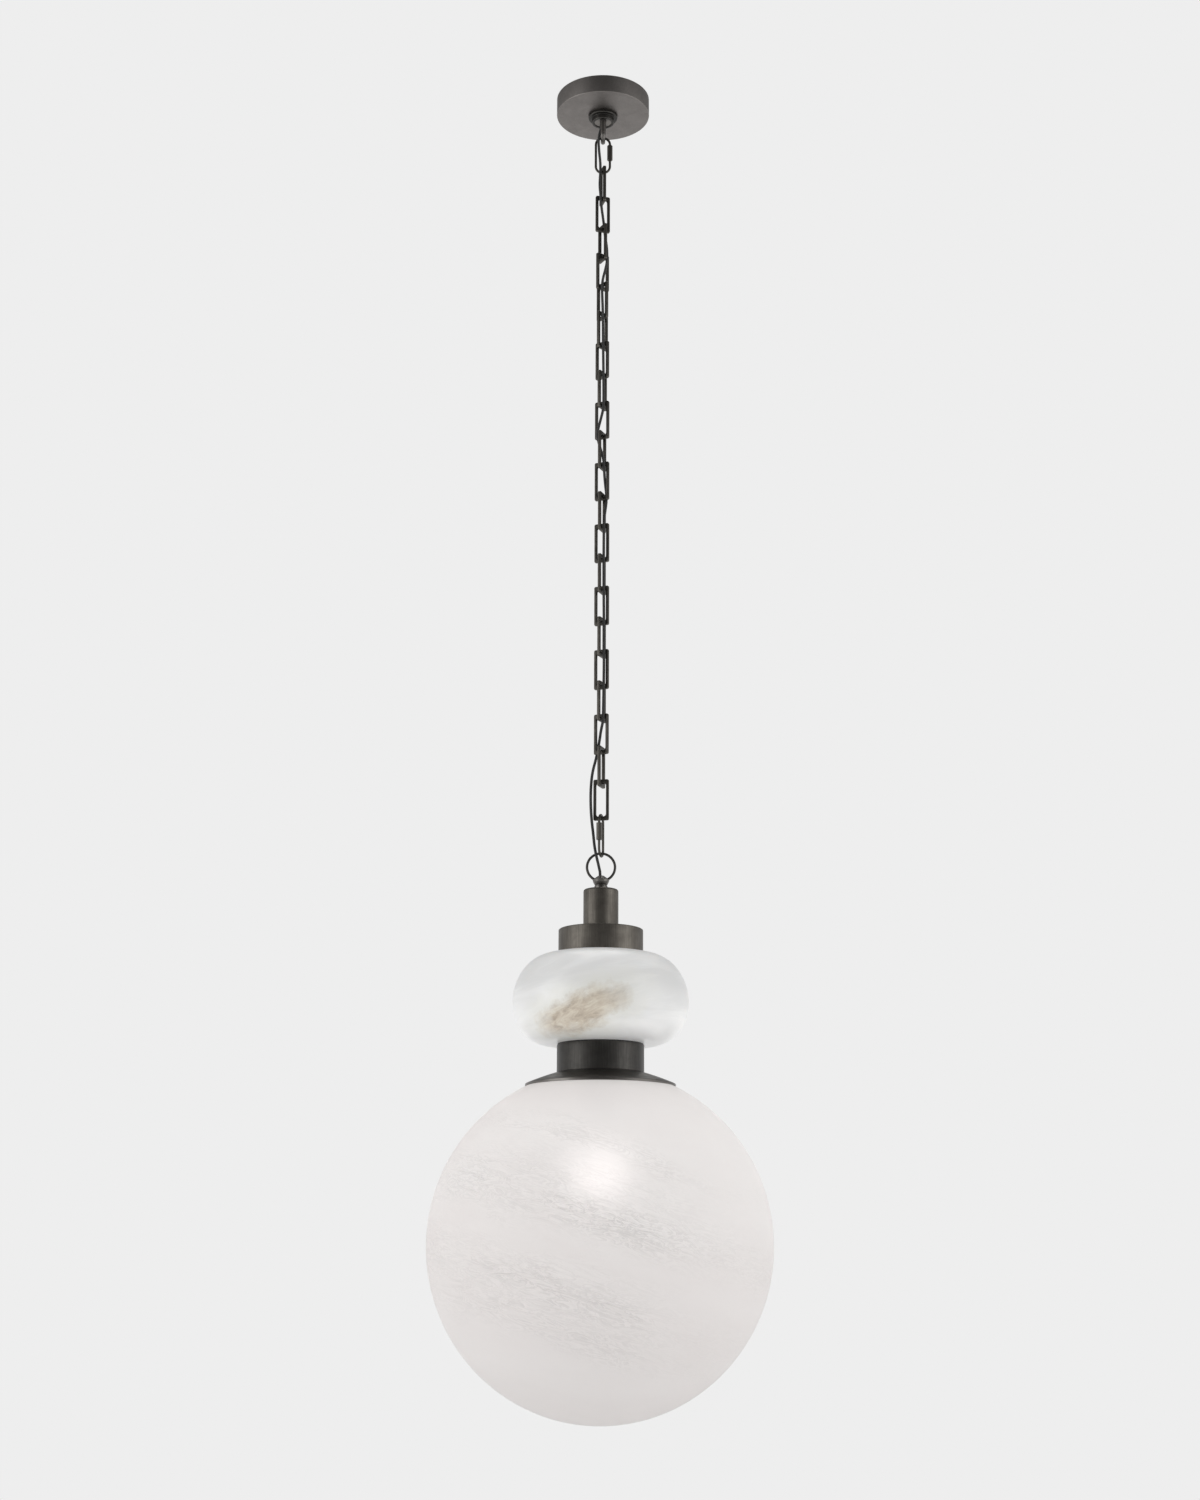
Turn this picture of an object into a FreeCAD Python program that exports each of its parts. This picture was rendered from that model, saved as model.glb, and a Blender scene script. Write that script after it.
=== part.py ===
import FreeCAD, Part

import math
import os

import Sketcher

# Globe pendant on a chain. Millimetres, +Z up. The origin is the middle of the mounting crossbar's upper face, in
# the plane of the ceiling. Everything hangs below it on the Z axis. X runs across the object, Y to its back.

Vector = FreeCAD.Vector
Rotation = FreeCAD.Rotation

doc = FreeCAD.newDocument("globe_pendant")

# ---------------------------------------------------------------- driving dimensions

SIZES = {
    # ceiling fittings
    "canopy_diameter": 121.3,
    "canopy_depth": 23.8,
    "sheet_wall": 1.5,
    "edge_break": 0.8,
    "crossbar_length": 108.0,
    "crossbar_width": 20.0,
    "crossbar_thickness": 2.0,
    "box_screw_spacing": 88.9,
    "box_slot_length": 12.0,
    "box_slot_width": 4.6,
    "earth_screw_offset": 22.0,
    "earth_screw_diameter": 4.0,
    "earth_screw_head": 7.0,
    "nipple_diameter": 10.0,
    "nipple_bore": 6.6,
    "nipple_rise": 8.0,
    "nipple_engagement": 14.0,
    "locknut_across_corners": 17.0,
    "locknut_height": 3.0,
    "screw_collar_flange_diameter": 38.0,
    "screw_collar_flange_height": 4.0,
    "screw_collar_hub_diameter": 29.0,
    "screw_collar_hub_height": 6.3,
    # cast loop
    "loop_stem_diameter": 22.0,
    "loop_bar_diameter": 6.0,
    "loop_leg_diameter": 8.4,
    "loop_eye_width": 9.6,
    "loop_drop": 23.75,
    # quick links
    "quick_link_length": 54.0,
    "quick_link_width": 21.5,
    "quick_link_wire": 3.2,
    "quick_link_gap": 7.0,
    "quick_link_gap_depth": 14.5,
    "sleeve_length": 21.0,
    "sleeve_across_corners": 7.0,
    # chain
    "link_length": 50.8,
    "link_width": 19.0,
    "link_end_bar": 4.65,
    "link_leg": 3.4,
    "link_thickness": 3.8,
    "link_corner": 1.6,
    "link_window_corner": 2.8,
    # ring loop and its hub
    "ring_diameter": 36.8,
    "ring_wire": 3.2,
    "hub_dome_radius": 3.4,
    "hub_shoulder_diameter": 20.4,
    "hub_waist_diameter": 14.0,
    "hub_foot_diameter": 16.5,
    "hub_height": 17.0,
    "hub_rise": 7.85,
    # caps and stone
    "stem_cap_diameter": 42.0,
    "stem_cap_height": 49.0,
    "stem_cap_round": 3.0,
    "disk_cap_diameter": 101.0,
    "disk_cap_height": 29.4,
    "gasket_thickness": 1.0,
    "gasket_width": 5.0,
    "stone_diameter": 209.0,
    "stone_rise": 56.0,
    "stone_fall": 49.5,
    "stone_side_radius": 63.0,
    "stone_upper_radius": 41.0,
    "stone_lower_radius": 39.5,
    "stone_bore": 26.0,
    "neck_collar_height": 32.7,
    "flared_cap_diameter": 177.0,
    "flared_cap_rim": 3.0,
    # globe
    "globe_diameter": 400.0,
    "globe_wall": 4.0,
    "globe_neck_diameter": 100.0,
    "seat_margin": 1.4,
    "holder_length": 116.0,
    "holder_width": 22.0,
    "holder_thickness": 3.0,
    "pad_diameter": 12.0,
    "pad_thickness": 2.0,
    # centre pipe and lamp
    "pipe_diameter": 10.0,
    "pipe_bore": 6.6,
    "pipe_engagement": 7.0,
    "pipe_nut_across_corners": 17.0,
    "pipe_nut_height": 4.0,
    "washer_diameter": 18.0,
    "washer_thickness": 1.2,
    "lampholder_cap_diameter": 37.0,
    "lampholder_cap_height": 14.0,
    "lampholder_length": 40.0,
    "lamp_base_diameter": 26.4,
    "lamp_base_length": 25.0,
    "lamp_neck_diameter": 27.0,
    "lamp_glass_diameter": 60.0,
    "lamp_glass_length": 82.0,
    # cord
    "cord_diameter": 3.4,
    "lead_diameter": 1.6,
    "lead_length": 18.0,
    "connector_diameter": 9.0,
    "connector_length": 18.0,
    # clearances
    "hang_gap": 0.3,
    "thread_clearance": 0.1,
    "cord_clearance": 0.9,
}

# How far each link's plane is turned from the one above, as it hangs: the chain twists slowly on its way down.
LINK_TWIST = [17, 17, 28, 38, 42, 51, 57, 61, 65, 66, 67, 68, 68, 68, 67, 66, 66, 65, 64, 70, 78]
LOWER_QUICK_LINK_TURN = 255.0
LEAD_LEAN = 50.0
# Curved profiles of the large turned pieces are drawn as narrow conical bands, so that they stay light.
GLOBE_BANDS = 22
GLOBE_INNER_BANDS = 12
FLARE_BANDS = 3
STONE_SIDE_BANDS = 6
STONE_TIGHT_BANDS = 4
CORD_SIDES = 6
WIRE_SIDES = 8

sheet = doc.addObject("Spreadsheet::Sheet", "Sizes")
for row, (alias, value) in enumerate(SIZES.items(), start=1):
    sheet.set(f"A{row}", alias)
    sheet.set(f"B{row}", str(value))
    sheet.setAlias(f"B{row}", alias)
doc.recompute()


class Length:
    """A length that keeps its number together with the sheet formula that gives it."""

    def __init__(self, number, formula):
        self.number = float(number)
        self.formula = formula

    def __add__(self, other):
        other = length(other)
        return Length(self.number + other.number, f"({self.formula} + {other.formula})")

    def __sub__(self, other):
        other = length(other)
        return Length(self.number - other.number, f"({self.formula} - {other.formula})")

    def __mul__(self, other):
        other = length(other)
        return Length(self.number * other.number, f"({self.formula} * {other.formula})")

    def __truediv__(self, other):
        other = length(other)
        return Length(self.number / other.number, f"({self.formula} / {other.formula})")

    def __neg__(self):
        return length(0) - self


def length(value):
    return value if isinstance(value, Length) else Length(value, repr(float(value)))


def root_of(value):
    return Length(math.sqrt(value.number), f"sqrt({value.formula})")


class Dimensions:
    """The sheet's cells by name, as Length values."""

    def __getattr__(self, alias):
        return Length(sheet.get(alias), f"Sizes.{alias}")


d = Dimensions()


# ---------------------------------------------------------------- levels down the axis

def level(value):
    return length(value).number


BREAK = d.edge_break
collar_bottom = -(d.canopy_depth + d.screw_collar_flange_height + d.screw_collar_hub_height)
eye_floor = collar_bottom - d.loop_drop
upper_quick_link_top = eye_floor + d.hang_gap + d.quick_link_wire
chain_top = upper_quick_link_top - d.quick_link_length + d.quick_link_wire + d.hang_gap + d.link_end_bar
link_pitch = d.link_length - d.link_end_bar * 2 - d.hang_gap
chain_bottom = chain_top - link_pitch * (len(LINK_TWIST) - 1) - d.link_length
lower_quick_link_top = chain_bottom + d.link_end_bar + d.hang_gap + d.quick_link_wire
ring_top = lower_quick_link_top - d.quick_link_length + d.quick_link_wire + d.hang_gap + d.ring_wire
ring_bottom = ring_top - d.ring_diameter
hub_top = ring_bottom + d.hub_rise
stem_cap_top = hub_top - d.hub_height
disk_cap_top = stem_cap_top - d.stem_cap_height
disk_cap_bottom = disk_cap_top - d.disk_cap_height
stone_top = disk_cap_bottom - d.gasket_thickness
stone_bottom = stone_top - d.stone_rise - d.stone_fall
neck_collar_top = stone_bottom - d.gasket_thickness
flared_cap_top = neck_collar_top - d.neck_collar_height
# the globe's edge seats on a gasket against the flat of the flared cap, which is as wide as the neck collar
neck_collar_radius = d.globe_neck_diameter / 2 + d.seat_margin
neck_edge = root_of(d.globe_diameter * d.globe_diameter / 4 - d.globe_neck_diameter * d.globe_neck_diameter / 4)
globe_centre = flared_cap_top - d.sheet_wall - d.gasket_thickness - neck_edge


# ---------------------------------------------------------------- sketch and body helpers

def new_body(label):
    body = doc.addObject("PartDesign::Body", label)
    body.Label = label
    return body


def new_sketch(body, plane):
    sketch = body.newObject("Sketcher::SketchObject", f"{body.Name}_{plane}_sketch")
    origin_plane = next(feature for feature in body.Origin.OriginFeatures if feature.Role == plane)
    sketch.AttachmentSupport = [(origin_plane, "")]
    sketch.MapMode = "FlatFace"
    return sketch


def pin_point(sketch, geometry, position, point):
    """Ties one point of the sketch to its distances from the origin, which follow the sheet."""
    for kind, axis, value in (("DistanceX", -2, point[0]), ("DistanceY", -1, point[1])):
        value = length(value)
        if value.number == 0:
            sketch.addConstraint(Sketcher.Constraint("PointOnObject", geometry, position, axis))
            continue
        index = sketch.addConstraint(Sketcher.Constraint(kind, -1, 1, geometry, position, value.number))
        sketch.setExpression(f"Constraints[{index}]", value.formula)


def draw_polygon(sketch, corners):
    first = sketch.GeometryCount
    count = len(corners)
    points = [Vector(level(across), level(along), 0) for across, along in corners]
    for index, point in enumerate(points):
        sketch.addGeometry(Part.LineSegment(point, points[(index + 1) % count]), False)
    for index in range(count):
        following = first + (index + 1) % count
        sketch.addConstraint(Sketcher.Constraint("Coincident", first + index, 2, following, 1))
    for index, corner in enumerate(corners):
        pin_point(sketch, first + index, 1, corner)


def lathe(label, corners, top):
    """A turned piece. Its corners are (radius, depth below its top), and it hangs from the level top."""
    body = new_body(label)
    sketch = new_sketch(body, "XZ_Plane")
    draw_polygon(sketch, corners)
    turned = body.newObject("PartDesign::Revolution", f"{label}_turned")
    turned.Profile = sketch
    turned.ReferenceAxis = (sketch, ["V_Axis"])
    turned.Angle = 360
    body.Tip = turned
    body.Placement = FreeCAD.Placement(Vector(0, 0, level(top)), Rotation(Vector(1, 0, 0), 180))
    return body


def ring_section(inner, outer, height):
    """The corners of a plain washer or tube."""
    return [(inner, 0), (outer, 0), (outer, height), (inner, height)]


def primitive(kind, name, placement, **sizes):
    piece = doc.addObject(kind, name)
    for name_of_size, value in sizes.items():
        piece.setExpression(name_of_size, length(value).formula)
    piece.Placement = placement
    return piece


def about_z(degrees):
    return Rotation(Vector(0, 0, 1), degrees)


def at(x, y, z, rotation=Rotation()):
    return FreeCAD.Placement(Vector(level(x), level(y), level(z)), rotation)


def fused(label, pieces):
    whole = doc.addObject("Part::MultiFuse", label)
    whole.Shapes = pieces
    whole.Label = label
    return whole


def cut(label, base, tool):
    remainder = doc.addObject("Part::Cut", label)
    remainder.Base = base
    remainder.Tool = tool
    remainder.Label = label
    return remainder


def solid_group(label, pieces):
    group = doc.addObject("Part::Compound", label)
    group.Links = pieces
    group.Label = label
    return group


def standing(turn, tilt):
    """Stands a bend that lies round Z upright, in the plane turned from X. A tilt of 90 puts its crown on top."""
    return about_z(turn).multiply(Rotation(Vector(0, 1, 0), -tilt)).multiply(Rotation(Vector(1, 0, 0), 90))


def bent_wire(label, radius, wire, degrees, placement):
    """Round wire bent round Z. Its section is drawn eight-sided, inside the real round one, to stay light."""
    body = new_body(label)
    sketch = new_sketch(body, "XZ_Plane")
    angles = [2 * math.pi * (side + 0.5) / WIRE_SIDES for side in range(WIRE_SIDES)]
    draw_polygon(sketch, [(radius + wire * math.cos(angle), wire * math.sin(angle)) for angle in angles])
    bend = body.newObject("PartDesign::Revolution", f"{label}_bend")
    bend.Profile = sketch
    bend.ReferenceAxis = (sketch, ["V_Axis"])
    bend.Angle = degrees
    bend.Midplane = degrees < 360
    body.Tip = bend
    body.Placement = placement
    return body


def straight_wire(label, side, low, height, wire, turn):
    """A straight length of the same wire, standing on end."""
    leg = primitive("Part::Prism", label, at(side.x, side.y, low, about_z(turn + 180 / WIRE_SIDES)),
                    Circumradius=wire, Height=height)
    leg.Polygon = WIRE_SIDES
    return leg


def shape_piece(label, shape):
    piece = doc.addObject("Part::Feature", label)
    piece.Shape = shape
    piece.Label = label
    return piece


def hex_nut(label, across_corners, bore, height, top):
    prism = primitive("Part::Prism", f"{label}_prism", at(0, 0, top - height), Circumradius=across_corners / 2,
                      Height=height)
    hole = primitive("Part::Cylinder", f"{label}_hole", at(0, 0, top - height), Radius=bore / 2, Height=height)
    return cut(label, prism, hole)


# ---------------------------------------------------------------- ceiling fittings

def canopy():
    outer = d.canopy_diameter / 2
    inner = outer - d.sheet_wall
    hole = d.loop_stem_diameter / 2 + d.thread_clearance
    return lathe("canopy", [
        (inner, 0),
        (outer, 0),
        (outer, d.canopy_depth - BREAK),
        (outer - BREAK, d.canopy_depth),
        (hole, d.canopy_depth),
        (hole, d.canopy_depth - d.sheet_wall),
        (inner, d.canopy_depth - d.sheet_wall),
    ], 0)


def screw_collar():
    flange = d.screw_collar_flange_diameter / 2
    hub = d.screw_collar_hub_diameter / 2
    bore = d.loop_stem_diameter / 2 + d.thread_clearance
    step = d.screw_collar_flange_height
    height = step + d.screw_collar_hub_height
    return lathe("screw_collar", [
        (bore, 0),
        (flange, 0),
        (flange, step - BREAK),
        (flange - BREAK, step),
        (hub, step),
        (hub, height - BREAK),
        (hub - BREAK, height),
        (bore, height),
    ], -d.canopy_depth)


def slot_tool(name, side):
    """The cutter of one oblong screw slot, on the given side of the crossbar."""
    width = d.box_slot_width
    straight = d.box_slot_length - width
    middle = d.box_screw_spacing / 2 * side
    low = -d.crossbar_thickness
    bar = primitive("Part::Box", f"{name}_bar", at(middle - straight / 2, -(width / 2), low),
                    Length=straight, Width=width, Height=d.crossbar_thickness)
    ends = [
        primitive("Part::Cylinder", f"{name}_end_{number}", at(middle + straight / 2 * way, 0, low),
                  Radius=width / 2, Height=d.crossbar_thickness)
        for number, way in enumerate((-1, 1))
    ]
    return fused(name, [bar] + ends)


def crossbar():
    low = -d.crossbar_thickness
    plate = primitive("Part::Box", "crossbar_plate", at(-(d.crossbar_length / 2), -(d.crossbar_width / 2), low),
                      Length=d.crossbar_length, Width=d.crossbar_width, Height=d.crossbar_thickness)
    centre_hole = primitive("Part::Cylinder", "crossbar_centre_hole", at(0, 0, low),
                            Radius=d.nipple_diameter / 2 + d.thread_clearance, Height=d.crossbar_thickness)
    earth_hole = primitive("Part::Cylinder", "crossbar_earth_hole", at(d.earth_screw_offset, 0, low),
                           Radius=d.earth_screw_diameter / 2 + d.thread_clearance, Height=d.crossbar_thickness)
    openings = fused("crossbar_openings", [
        centre_hole, earth_hole, slot_tool("left_slot", -1), slot_tool("right_slot", 1)
    ])
    return cut("crossbar", plate, openings)


def earth_screw():
    head_height = d.earth_screw_diameter / 2
    head = primitive("Part::Cylinder", "earth_screw_head_disc",
                     at(d.earth_screw_offset, 0, -d.crossbar_thickness - head_height),
                     Radius=d.earth_screw_head / 2, Height=head_height)
    shank = primitive("Part::Cylinder", "earth_screw_shank", at(d.earth_screw_offset, 0, -d.crossbar_thickness),
                      Radius=d.earth_screw_diameter / 2, Height=d.crossbar_thickness * 3)
    return fused("earth_screw", [head, shank])


def nipple():
    height = d.nipple_rise + d.crossbar_thickness + d.locknut_height + d.nipple_engagement
    return lathe("nipple", ring_section(d.nipple_bore / 2, d.nipple_diameter / 2, height), d.nipple_rise)


def nipple_locknut():
    return hex_nut("nipple_locknut", d.locknut_across_corners, d.nipple_diameter + d.thread_clearance * 2,
                   d.locknut_height, -d.crossbar_thickness)


def canopy_loop():
    """A threaded stem, bored for the nipple and the cord, with a round-bar loop hanging from it across X."""
    stem_top = -d.crossbar_thickness - d.locknut_height
    stem_bottom = collar_bottom + BREAK
    bar = d.loop_bar_diameter / 2
    ring_radius = d.loop_eye_width / 2 + bar
    ring_level = eye_floor + d.loop_eye_width / 2
    stem_height = stem_top - stem_bottom
    stem = primitive("Part::Cylinder", "loop_stem", at(0, 0, stem_bottom), Radius=d.loop_stem_diameter / 2,
                     Height=stem_height)
    hanging = about_z(90).multiply(Rotation(Vector(1, 0, 0), -90))
    bend = primitive("Part::Torus", "loop_bend", at(0, 0, ring_level, hanging), Radius1=ring_radius, Radius2=bar)
    bend.Angle3 = 180
    leg_height = stem_bottom - ring_level + BREAK
    leg_top = d.loop_leg_diameter / 2
    inset = leg_top - bar
    legs = []
    for name, side in (("front", -1), ("back", 1)):
        lean = Rotation(Vector(1, 0, 0), side * math.degrees(math.atan2(inset.number, leg_height.number)))
        legs.append(primitive("Part::Cone", f"loop_{name}_leg", at(0, ring_radius * side, ring_level, lean),
                              Radius1=bar, Radius2=leg_top, Height=leg_height))
    blank = fused("loop_blank", [stem, bend] + legs)
    socket = primitive("Part::Cylinder", "loop_socket", at(0, 0, stem_top - d.nipple_engagement),
                       Radius=d.nipple_diameter / 2 + d.thread_clearance, Height=d.nipple_engagement)
    cord_way = primitive("Part::Cylinder", "loop_cord_way", at(0, 0, stem_bottom), Radius=d.nipple_bore / 2,
                         Height=stem_height)
    return cut("canopy_loop", blank, fused("loop_bores", [socket, cord_way]))


# ---------------------------------------------------------------- quick links

def quick_link(label, top, turn):
    """A racetrack of round wire, open on one leg where the threaded sleeve closes it."""
    radius = (d.quick_link_width - d.quick_link_wire) / 2
    wire = d.quick_link_wire / 2
    upper_centre = top - d.quick_link_width / 2
    lower_centre = top - d.quick_link_length + d.quick_link_width / 2
    straight = upper_centre - lower_centre
    gap_top = top - d.quick_link_gap_depth
    gap_bottom = gap_top - d.quick_link_gap
    side = about_z(turn).multVec(Vector(radius.number, 0, 0))
    bends = [
        bent_wire(f"{label}_upper_bend", radius, wire, 180, at(0, 0, upper_centre, standing(turn, 90))),
        bent_wire(f"{label}_lower_bend", radius, wire, 180, at(0, 0, lower_centre, standing(turn, -90))),
    ]
    legs = [
        straight_wire(f"{label}_plain_leg", -side, lower_centre, straight, wire, turn),
        straight_wire(f"{label}_upper_stub", side, gap_top, upper_centre - gap_top, wire, turn),
        straight_wire(f"{label}_lower_stub", side, lower_centre, gap_bottom - lower_centre, wire, turn),
    ]
    return fused(label, bends + legs)


def quick_link_sleeve(label, top, turn):
    radius = (d.quick_link_width - d.quick_link_wire) / 2
    side = about_z(turn).multVec(Vector(radius.number, 0, 0))
    overlap = BREAK * 2
    low = top - d.quick_link_gap_depth + overlap - d.sleeve_length
    place = at(side.x, side.y, low, about_z(turn))
    prism = primitive("Part::Prism", f"{label}_prism", place, Circumradius=d.sleeve_across_corners / 2,
                      Height=d.sleeve_length)
    bore = primitive("Part::Cylinder", f"{label}_bore", place, Radius=d.quick_link_wire / 2 + d.thread_clearance,
                     Height=d.sleeve_length)
    return cut(label, prism, bore)


# ---------------------------------------------------------------- chain

def clipped_rectangle(half_width, half_height, clip):
    """The corners of a rectangle about the origin, each clipped by the same amount."""
    low_x, low_z = half_width - clip, half_height - clip
    return [
        (half_width, -low_z), (half_width, low_z), (low_x, half_height), (-low_x, half_height),
        (-half_width, low_z), (-half_width, -low_z), (-low_x, -half_height), (low_x, -half_height),
    ]


def link_turn(number):
    """The plane of link number, in degrees from X: each link stands square to the last, on a slow twist."""
    twist = LINK_TWIST[number - 1]
    return twist if number % 2 == 0 else twist - 90


def chain_link(number):
    """One rectangular link: a padded frame with every edge broken, so that it rolls in its neighbours."""
    label = f"chain_link_{number:02d}"
    body = new_body(label)
    sketch = new_sketch(body, "XZ_Plane")
    draw_polygon(sketch, clipped_rectangle(d.link_width / 2, d.link_length / 2, d.link_corner))
    draw_polygon(sketch, clipped_rectangle(d.link_width / 2 - d.link_leg, d.link_length / 2 - d.link_end_bar,
                                           d.link_window_corner))
    frame = body.newObject("PartDesign::Pad", f"{label}_frame")
    frame.Profile = sketch
    frame.Midplane = True
    frame.setExpression("Length", d.link_thickness.formula)
    doc.recompute()
    face_level = d.link_thickness.number / 2
    rims = [
        f"Edge{index}" for index, edge in enumerate(frame.Shape.Edges, start=1)
        if all(abs(abs(vertex.Y) - face_level) < 0.001 for vertex in edge.Vertexes)
        and abs(edge.Vertexes[0].Y - edge.Vertexes[-1].Y) < 0.001
    ]
    broken = body.newObject("PartDesign::Chamfer", f"{label}_broken_edges")
    broken.Base = (frame, rims)
    broken.setExpression("Size", BREAK.formula)
    body.Tip = broken
    middle = chain_top - link_pitch * (number - 1) - d.link_length / 2
    body.Placement = at(0, 0, middle, about_z(link_turn(number)))
    return body


# ---------------------------------------------------------------- ring loop

def ring_loop():
    """The round ring with its fan-shaped hub, bored for the cord above and for the centre pipe below."""
    wire = d.ring_wire / 2
    ring = bent_wire("ring_wire_ring", d.ring_diameter / 2 - wire, wire, 360,
                     at(0, 0, ring_bottom + d.ring_diameter / 2, standing(0, 0)))
    shoulder = d.hub_shoulder_diameter / 2
    waist = d.hub_waist_diameter / 2
    foot = d.hub_foot_diameter / 2
    cord_way = d.cord_diameter / 2 + d.cord_clearance
    socket = d.pipe_diameter / 2 + d.thread_clearance
    height = d.hub_height
    hub = lathe("ring_hub", [
        (cord_way, 0),
        (d.hub_dome_radius, 0),
        (shoulder, d.hub_rise - d.ring_wire),
        (shoulder - BREAK, d.hub_rise),
        (waist + BREAK, d.hub_rise + d.ring_wire),
        (waist, d.hub_rise + d.ring_wire + BREAK),
        (waist + BREAK, d.hub_rise + d.ring_wire + BREAK * 2),
        (foot, height),
        (socket, height),
        (socket, height - d.pipe_engagement),
        (cord_way, height - d.pipe_engagement),
    ], hub_top)
    whole = fused("ring_with_hub", [ring, hub])
    bore = primitive("Part::Cylinder", "ring_cord_way", at(0, 0, hub_top - height), Radius=cord_way, Height=height)
    return cut("ring_loop", whole, bore)


# ---------------------------------------------------------------- caps and stone

def stem_cap():
    outer = d.stem_cap_diameter / 2
    inner = outer - d.sheet_wall
    hole = d.pipe_diameter / 2 + d.thread_clearance
    bend = d.stem_cap_round
    return lathe("stem_cap", [
        (hole, 0),
        (outer - bend, 0),
        (outer - bend * 0.3, bend * 0.3),
        (outer, bend),
        (outer, d.stem_cap_height),
        (inner, d.stem_cap_height),
        (inner, d.sheet_wall * 2),
        (hole, d.sheet_wall * 2),
    ], stem_cap_top)


def open_cup(label, outer, height, top):
    """A cup turned upside down, with a hole in its closed end for the centre pipe."""
    inner = outer - d.sheet_wall
    hole = d.pipe_diameter / 2 + d.thread_clearance
    return lathe(label, [
        (hole, 0),
        (outer - BREAK, 0),
        (outer, BREAK),
        (outer, height),
        (inner, height),
        (inner, d.sheet_wall),
        (hole, d.sheet_wall),
    ], top)


def stone_gasket(label, outer, top):
    return lathe(label, ring_section(outer - d.gasket_width, outer - BREAK, d.gasket_thickness), top)


def arc_corners(centre, radius, first_angle, last_angle, bands):
    """Corners along an arc of a turned profile. Angles are measured from straight out, downwards."""
    step = (last_angle - first_angle) / bands
    angles = [first_angle + step * index for index in range(bands + 1)]
    return [(centre[0] + radius * math.cos(angle), centre[1] + radius * math.sin(angle)) for angle in angles]


def tangent_corner(side_centre, corner_radius, height):
    """How far out the centre of a corner arc lies, tangent to the flat at that height and inside the side arc."""
    between = d.stone_side_radius - corner_radius
    drop = height - corner_radius
    out = side_centre + root_of(between * between - drop * drop)
    return out, drop, math.asin(drop.number / between.number)


def stone_outline():
    """Half the stone's section: a bold round side that runs into a tighter arc above and below."""
    side_centre = d.stone_diameter / 2 - d.stone_side_radius
    upper_out, upper_drop, upper_angle = tangent_corner(side_centre, d.stone_upper_radius, d.stone_rise)
    lower_out, lower_drop, lower_angle = tangent_corner(side_centre, d.stone_lower_radius, d.stone_fall)
    upper = arc_corners((upper_out, d.stone_upper_radius), d.stone_upper_radius, -math.pi / 2, -upper_angle,
                        STONE_TIGHT_BANDS)
    side = arc_corners((side_centre, d.stone_rise), d.stone_side_radius, -upper_angle, lower_angle,
                       STONE_SIDE_BANDS)
    lower = arc_corners((lower_out, d.stone_rise + lower_drop), d.stone_lower_radius, lower_angle, math.pi / 2,
                        STONE_TIGHT_BANDS)
    bore = d.stone_bore / 2
    return [(bore, 0)] + upper + side[1:-1] + lower + [(bore, d.stone_rise + d.stone_fall)]


def alabaster_ring():
    return lathe("alabaster_ring", stone_outline(), stone_top)


def flared_cap():
    """A shallow dish whose skirt follows the globe, just above the glass, out to a thick rim."""
    hole = d.pipe_diameter / 2 + d.thread_clearance
    inner = neck_collar_radius
    rim = d.flared_cap_diameter / 2
    drop_to_centre = flared_cap_top - globe_centre
    clear_radius = d.globe_diameter / 2 + d.hang_gap
    underside = []
    for band in range(FLARE_BANDS + 1):
        out = inner + (rim - inner) * (1 - band / FLARE_BANDS)
        underside.append((out, drop_to_centre - root_of(clear_radius * clear_radius - out * out)))
    rim_bottom = underside[0][1]
    return lathe("flared_cap", [
        (hole, 0),
        (inner, 0),
        (rim - BREAK, rim_bottom - d.flared_cap_rim),
        (rim, rim_bottom - d.flared_cap_rim + BREAK),
    ] + underside[:-1] + [(inner, d.sheet_wall), (hole, d.sheet_wall)], flared_cap_top)


# ---------------------------------------------------------------- globe

def globe_arc(radius, bands, opening):
    """Points from the bottom of a sphere up to the edge of its opening, as (radius, depth below the centre)."""
    reach = math.pi - math.asin(opening.number / radius.number)
    points = []
    for band in range(bands):
        angle = reach * band / bands
        points.append((radius * math.sin(angle), radius * math.cos(angle)))
    points.append((opening, -root_of(radius * radius - opening * opening)))
    return points


def globe():
    """The glass: a thin hollow globe with one ground opening, drawn as narrow conical bands to stay light."""
    outer = d.globe_diameter / 2
    inner = outer - d.globe_wall
    opening = d.globe_neck_diameter / 2
    outside = globe_arc(outer, GLOBE_BANDS, opening)
    inside = globe_arc(inner, GLOBE_INNER_BANDS, opening)
    return lathe("globe", outside + inside[::-1], globe_centre)


def globe_gasket():
    """Lies between the glass's ground edge and the flat of the flared cap."""
    opening = d.globe_neck_diameter / 2
    return lathe("globe_gasket",
                 ring_section(opening - d.globe_wall / 2, opening + BREAK, d.gasket_thickness),
                 flared_cap_top - d.sheet_wall)


pad_offset = d.holder_length / 2 - d.pad_diameter / 2
pad_reach = d.holder_length / 2
# the bands of the glass lie a little inside its true sphere
glass_inner = (d.globe_diameter / 2 - d.globe_wall) * math.cos(math.pi / GLOBE_INNER_BANDS / 2)
pad_top = globe_centre + root_of(glass_inner * glass_inner - pad_reach * pad_reach) - d.hang_gap
holder_top = pad_top - d.pad_thickness


def globe_holder():
    """The strap inside the neck that carries the glass. It is longer than the opening and goes in aslant."""
    low = holder_top - d.holder_thickness
    strap = primitive("Part::Box", "holder_strap", at(-(d.holder_length / 2), -(d.holder_width / 2), low),
                      Length=d.holder_length, Width=d.holder_width, Height=d.holder_thickness)
    hole = primitive("Part::Cylinder", "holder_hole", at(0, 0, low),
                     Radius=d.pipe_diameter / 2 + d.thread_clearance, Height=d.holder_thickness)
    return cut("globe_holder", strap, hole)


def holder_pads():
    return solid_group("holder_pads", [
        primitive("Part::Cylinder", f"holder_pad_{name}", at(pad_offset * way, 0, holder_top),
                  Radius=d.pad_diameter / 2, Height=d.pad_thickness)
        for name, way in (("left", -1), ("right", 1))
    ])


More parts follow.
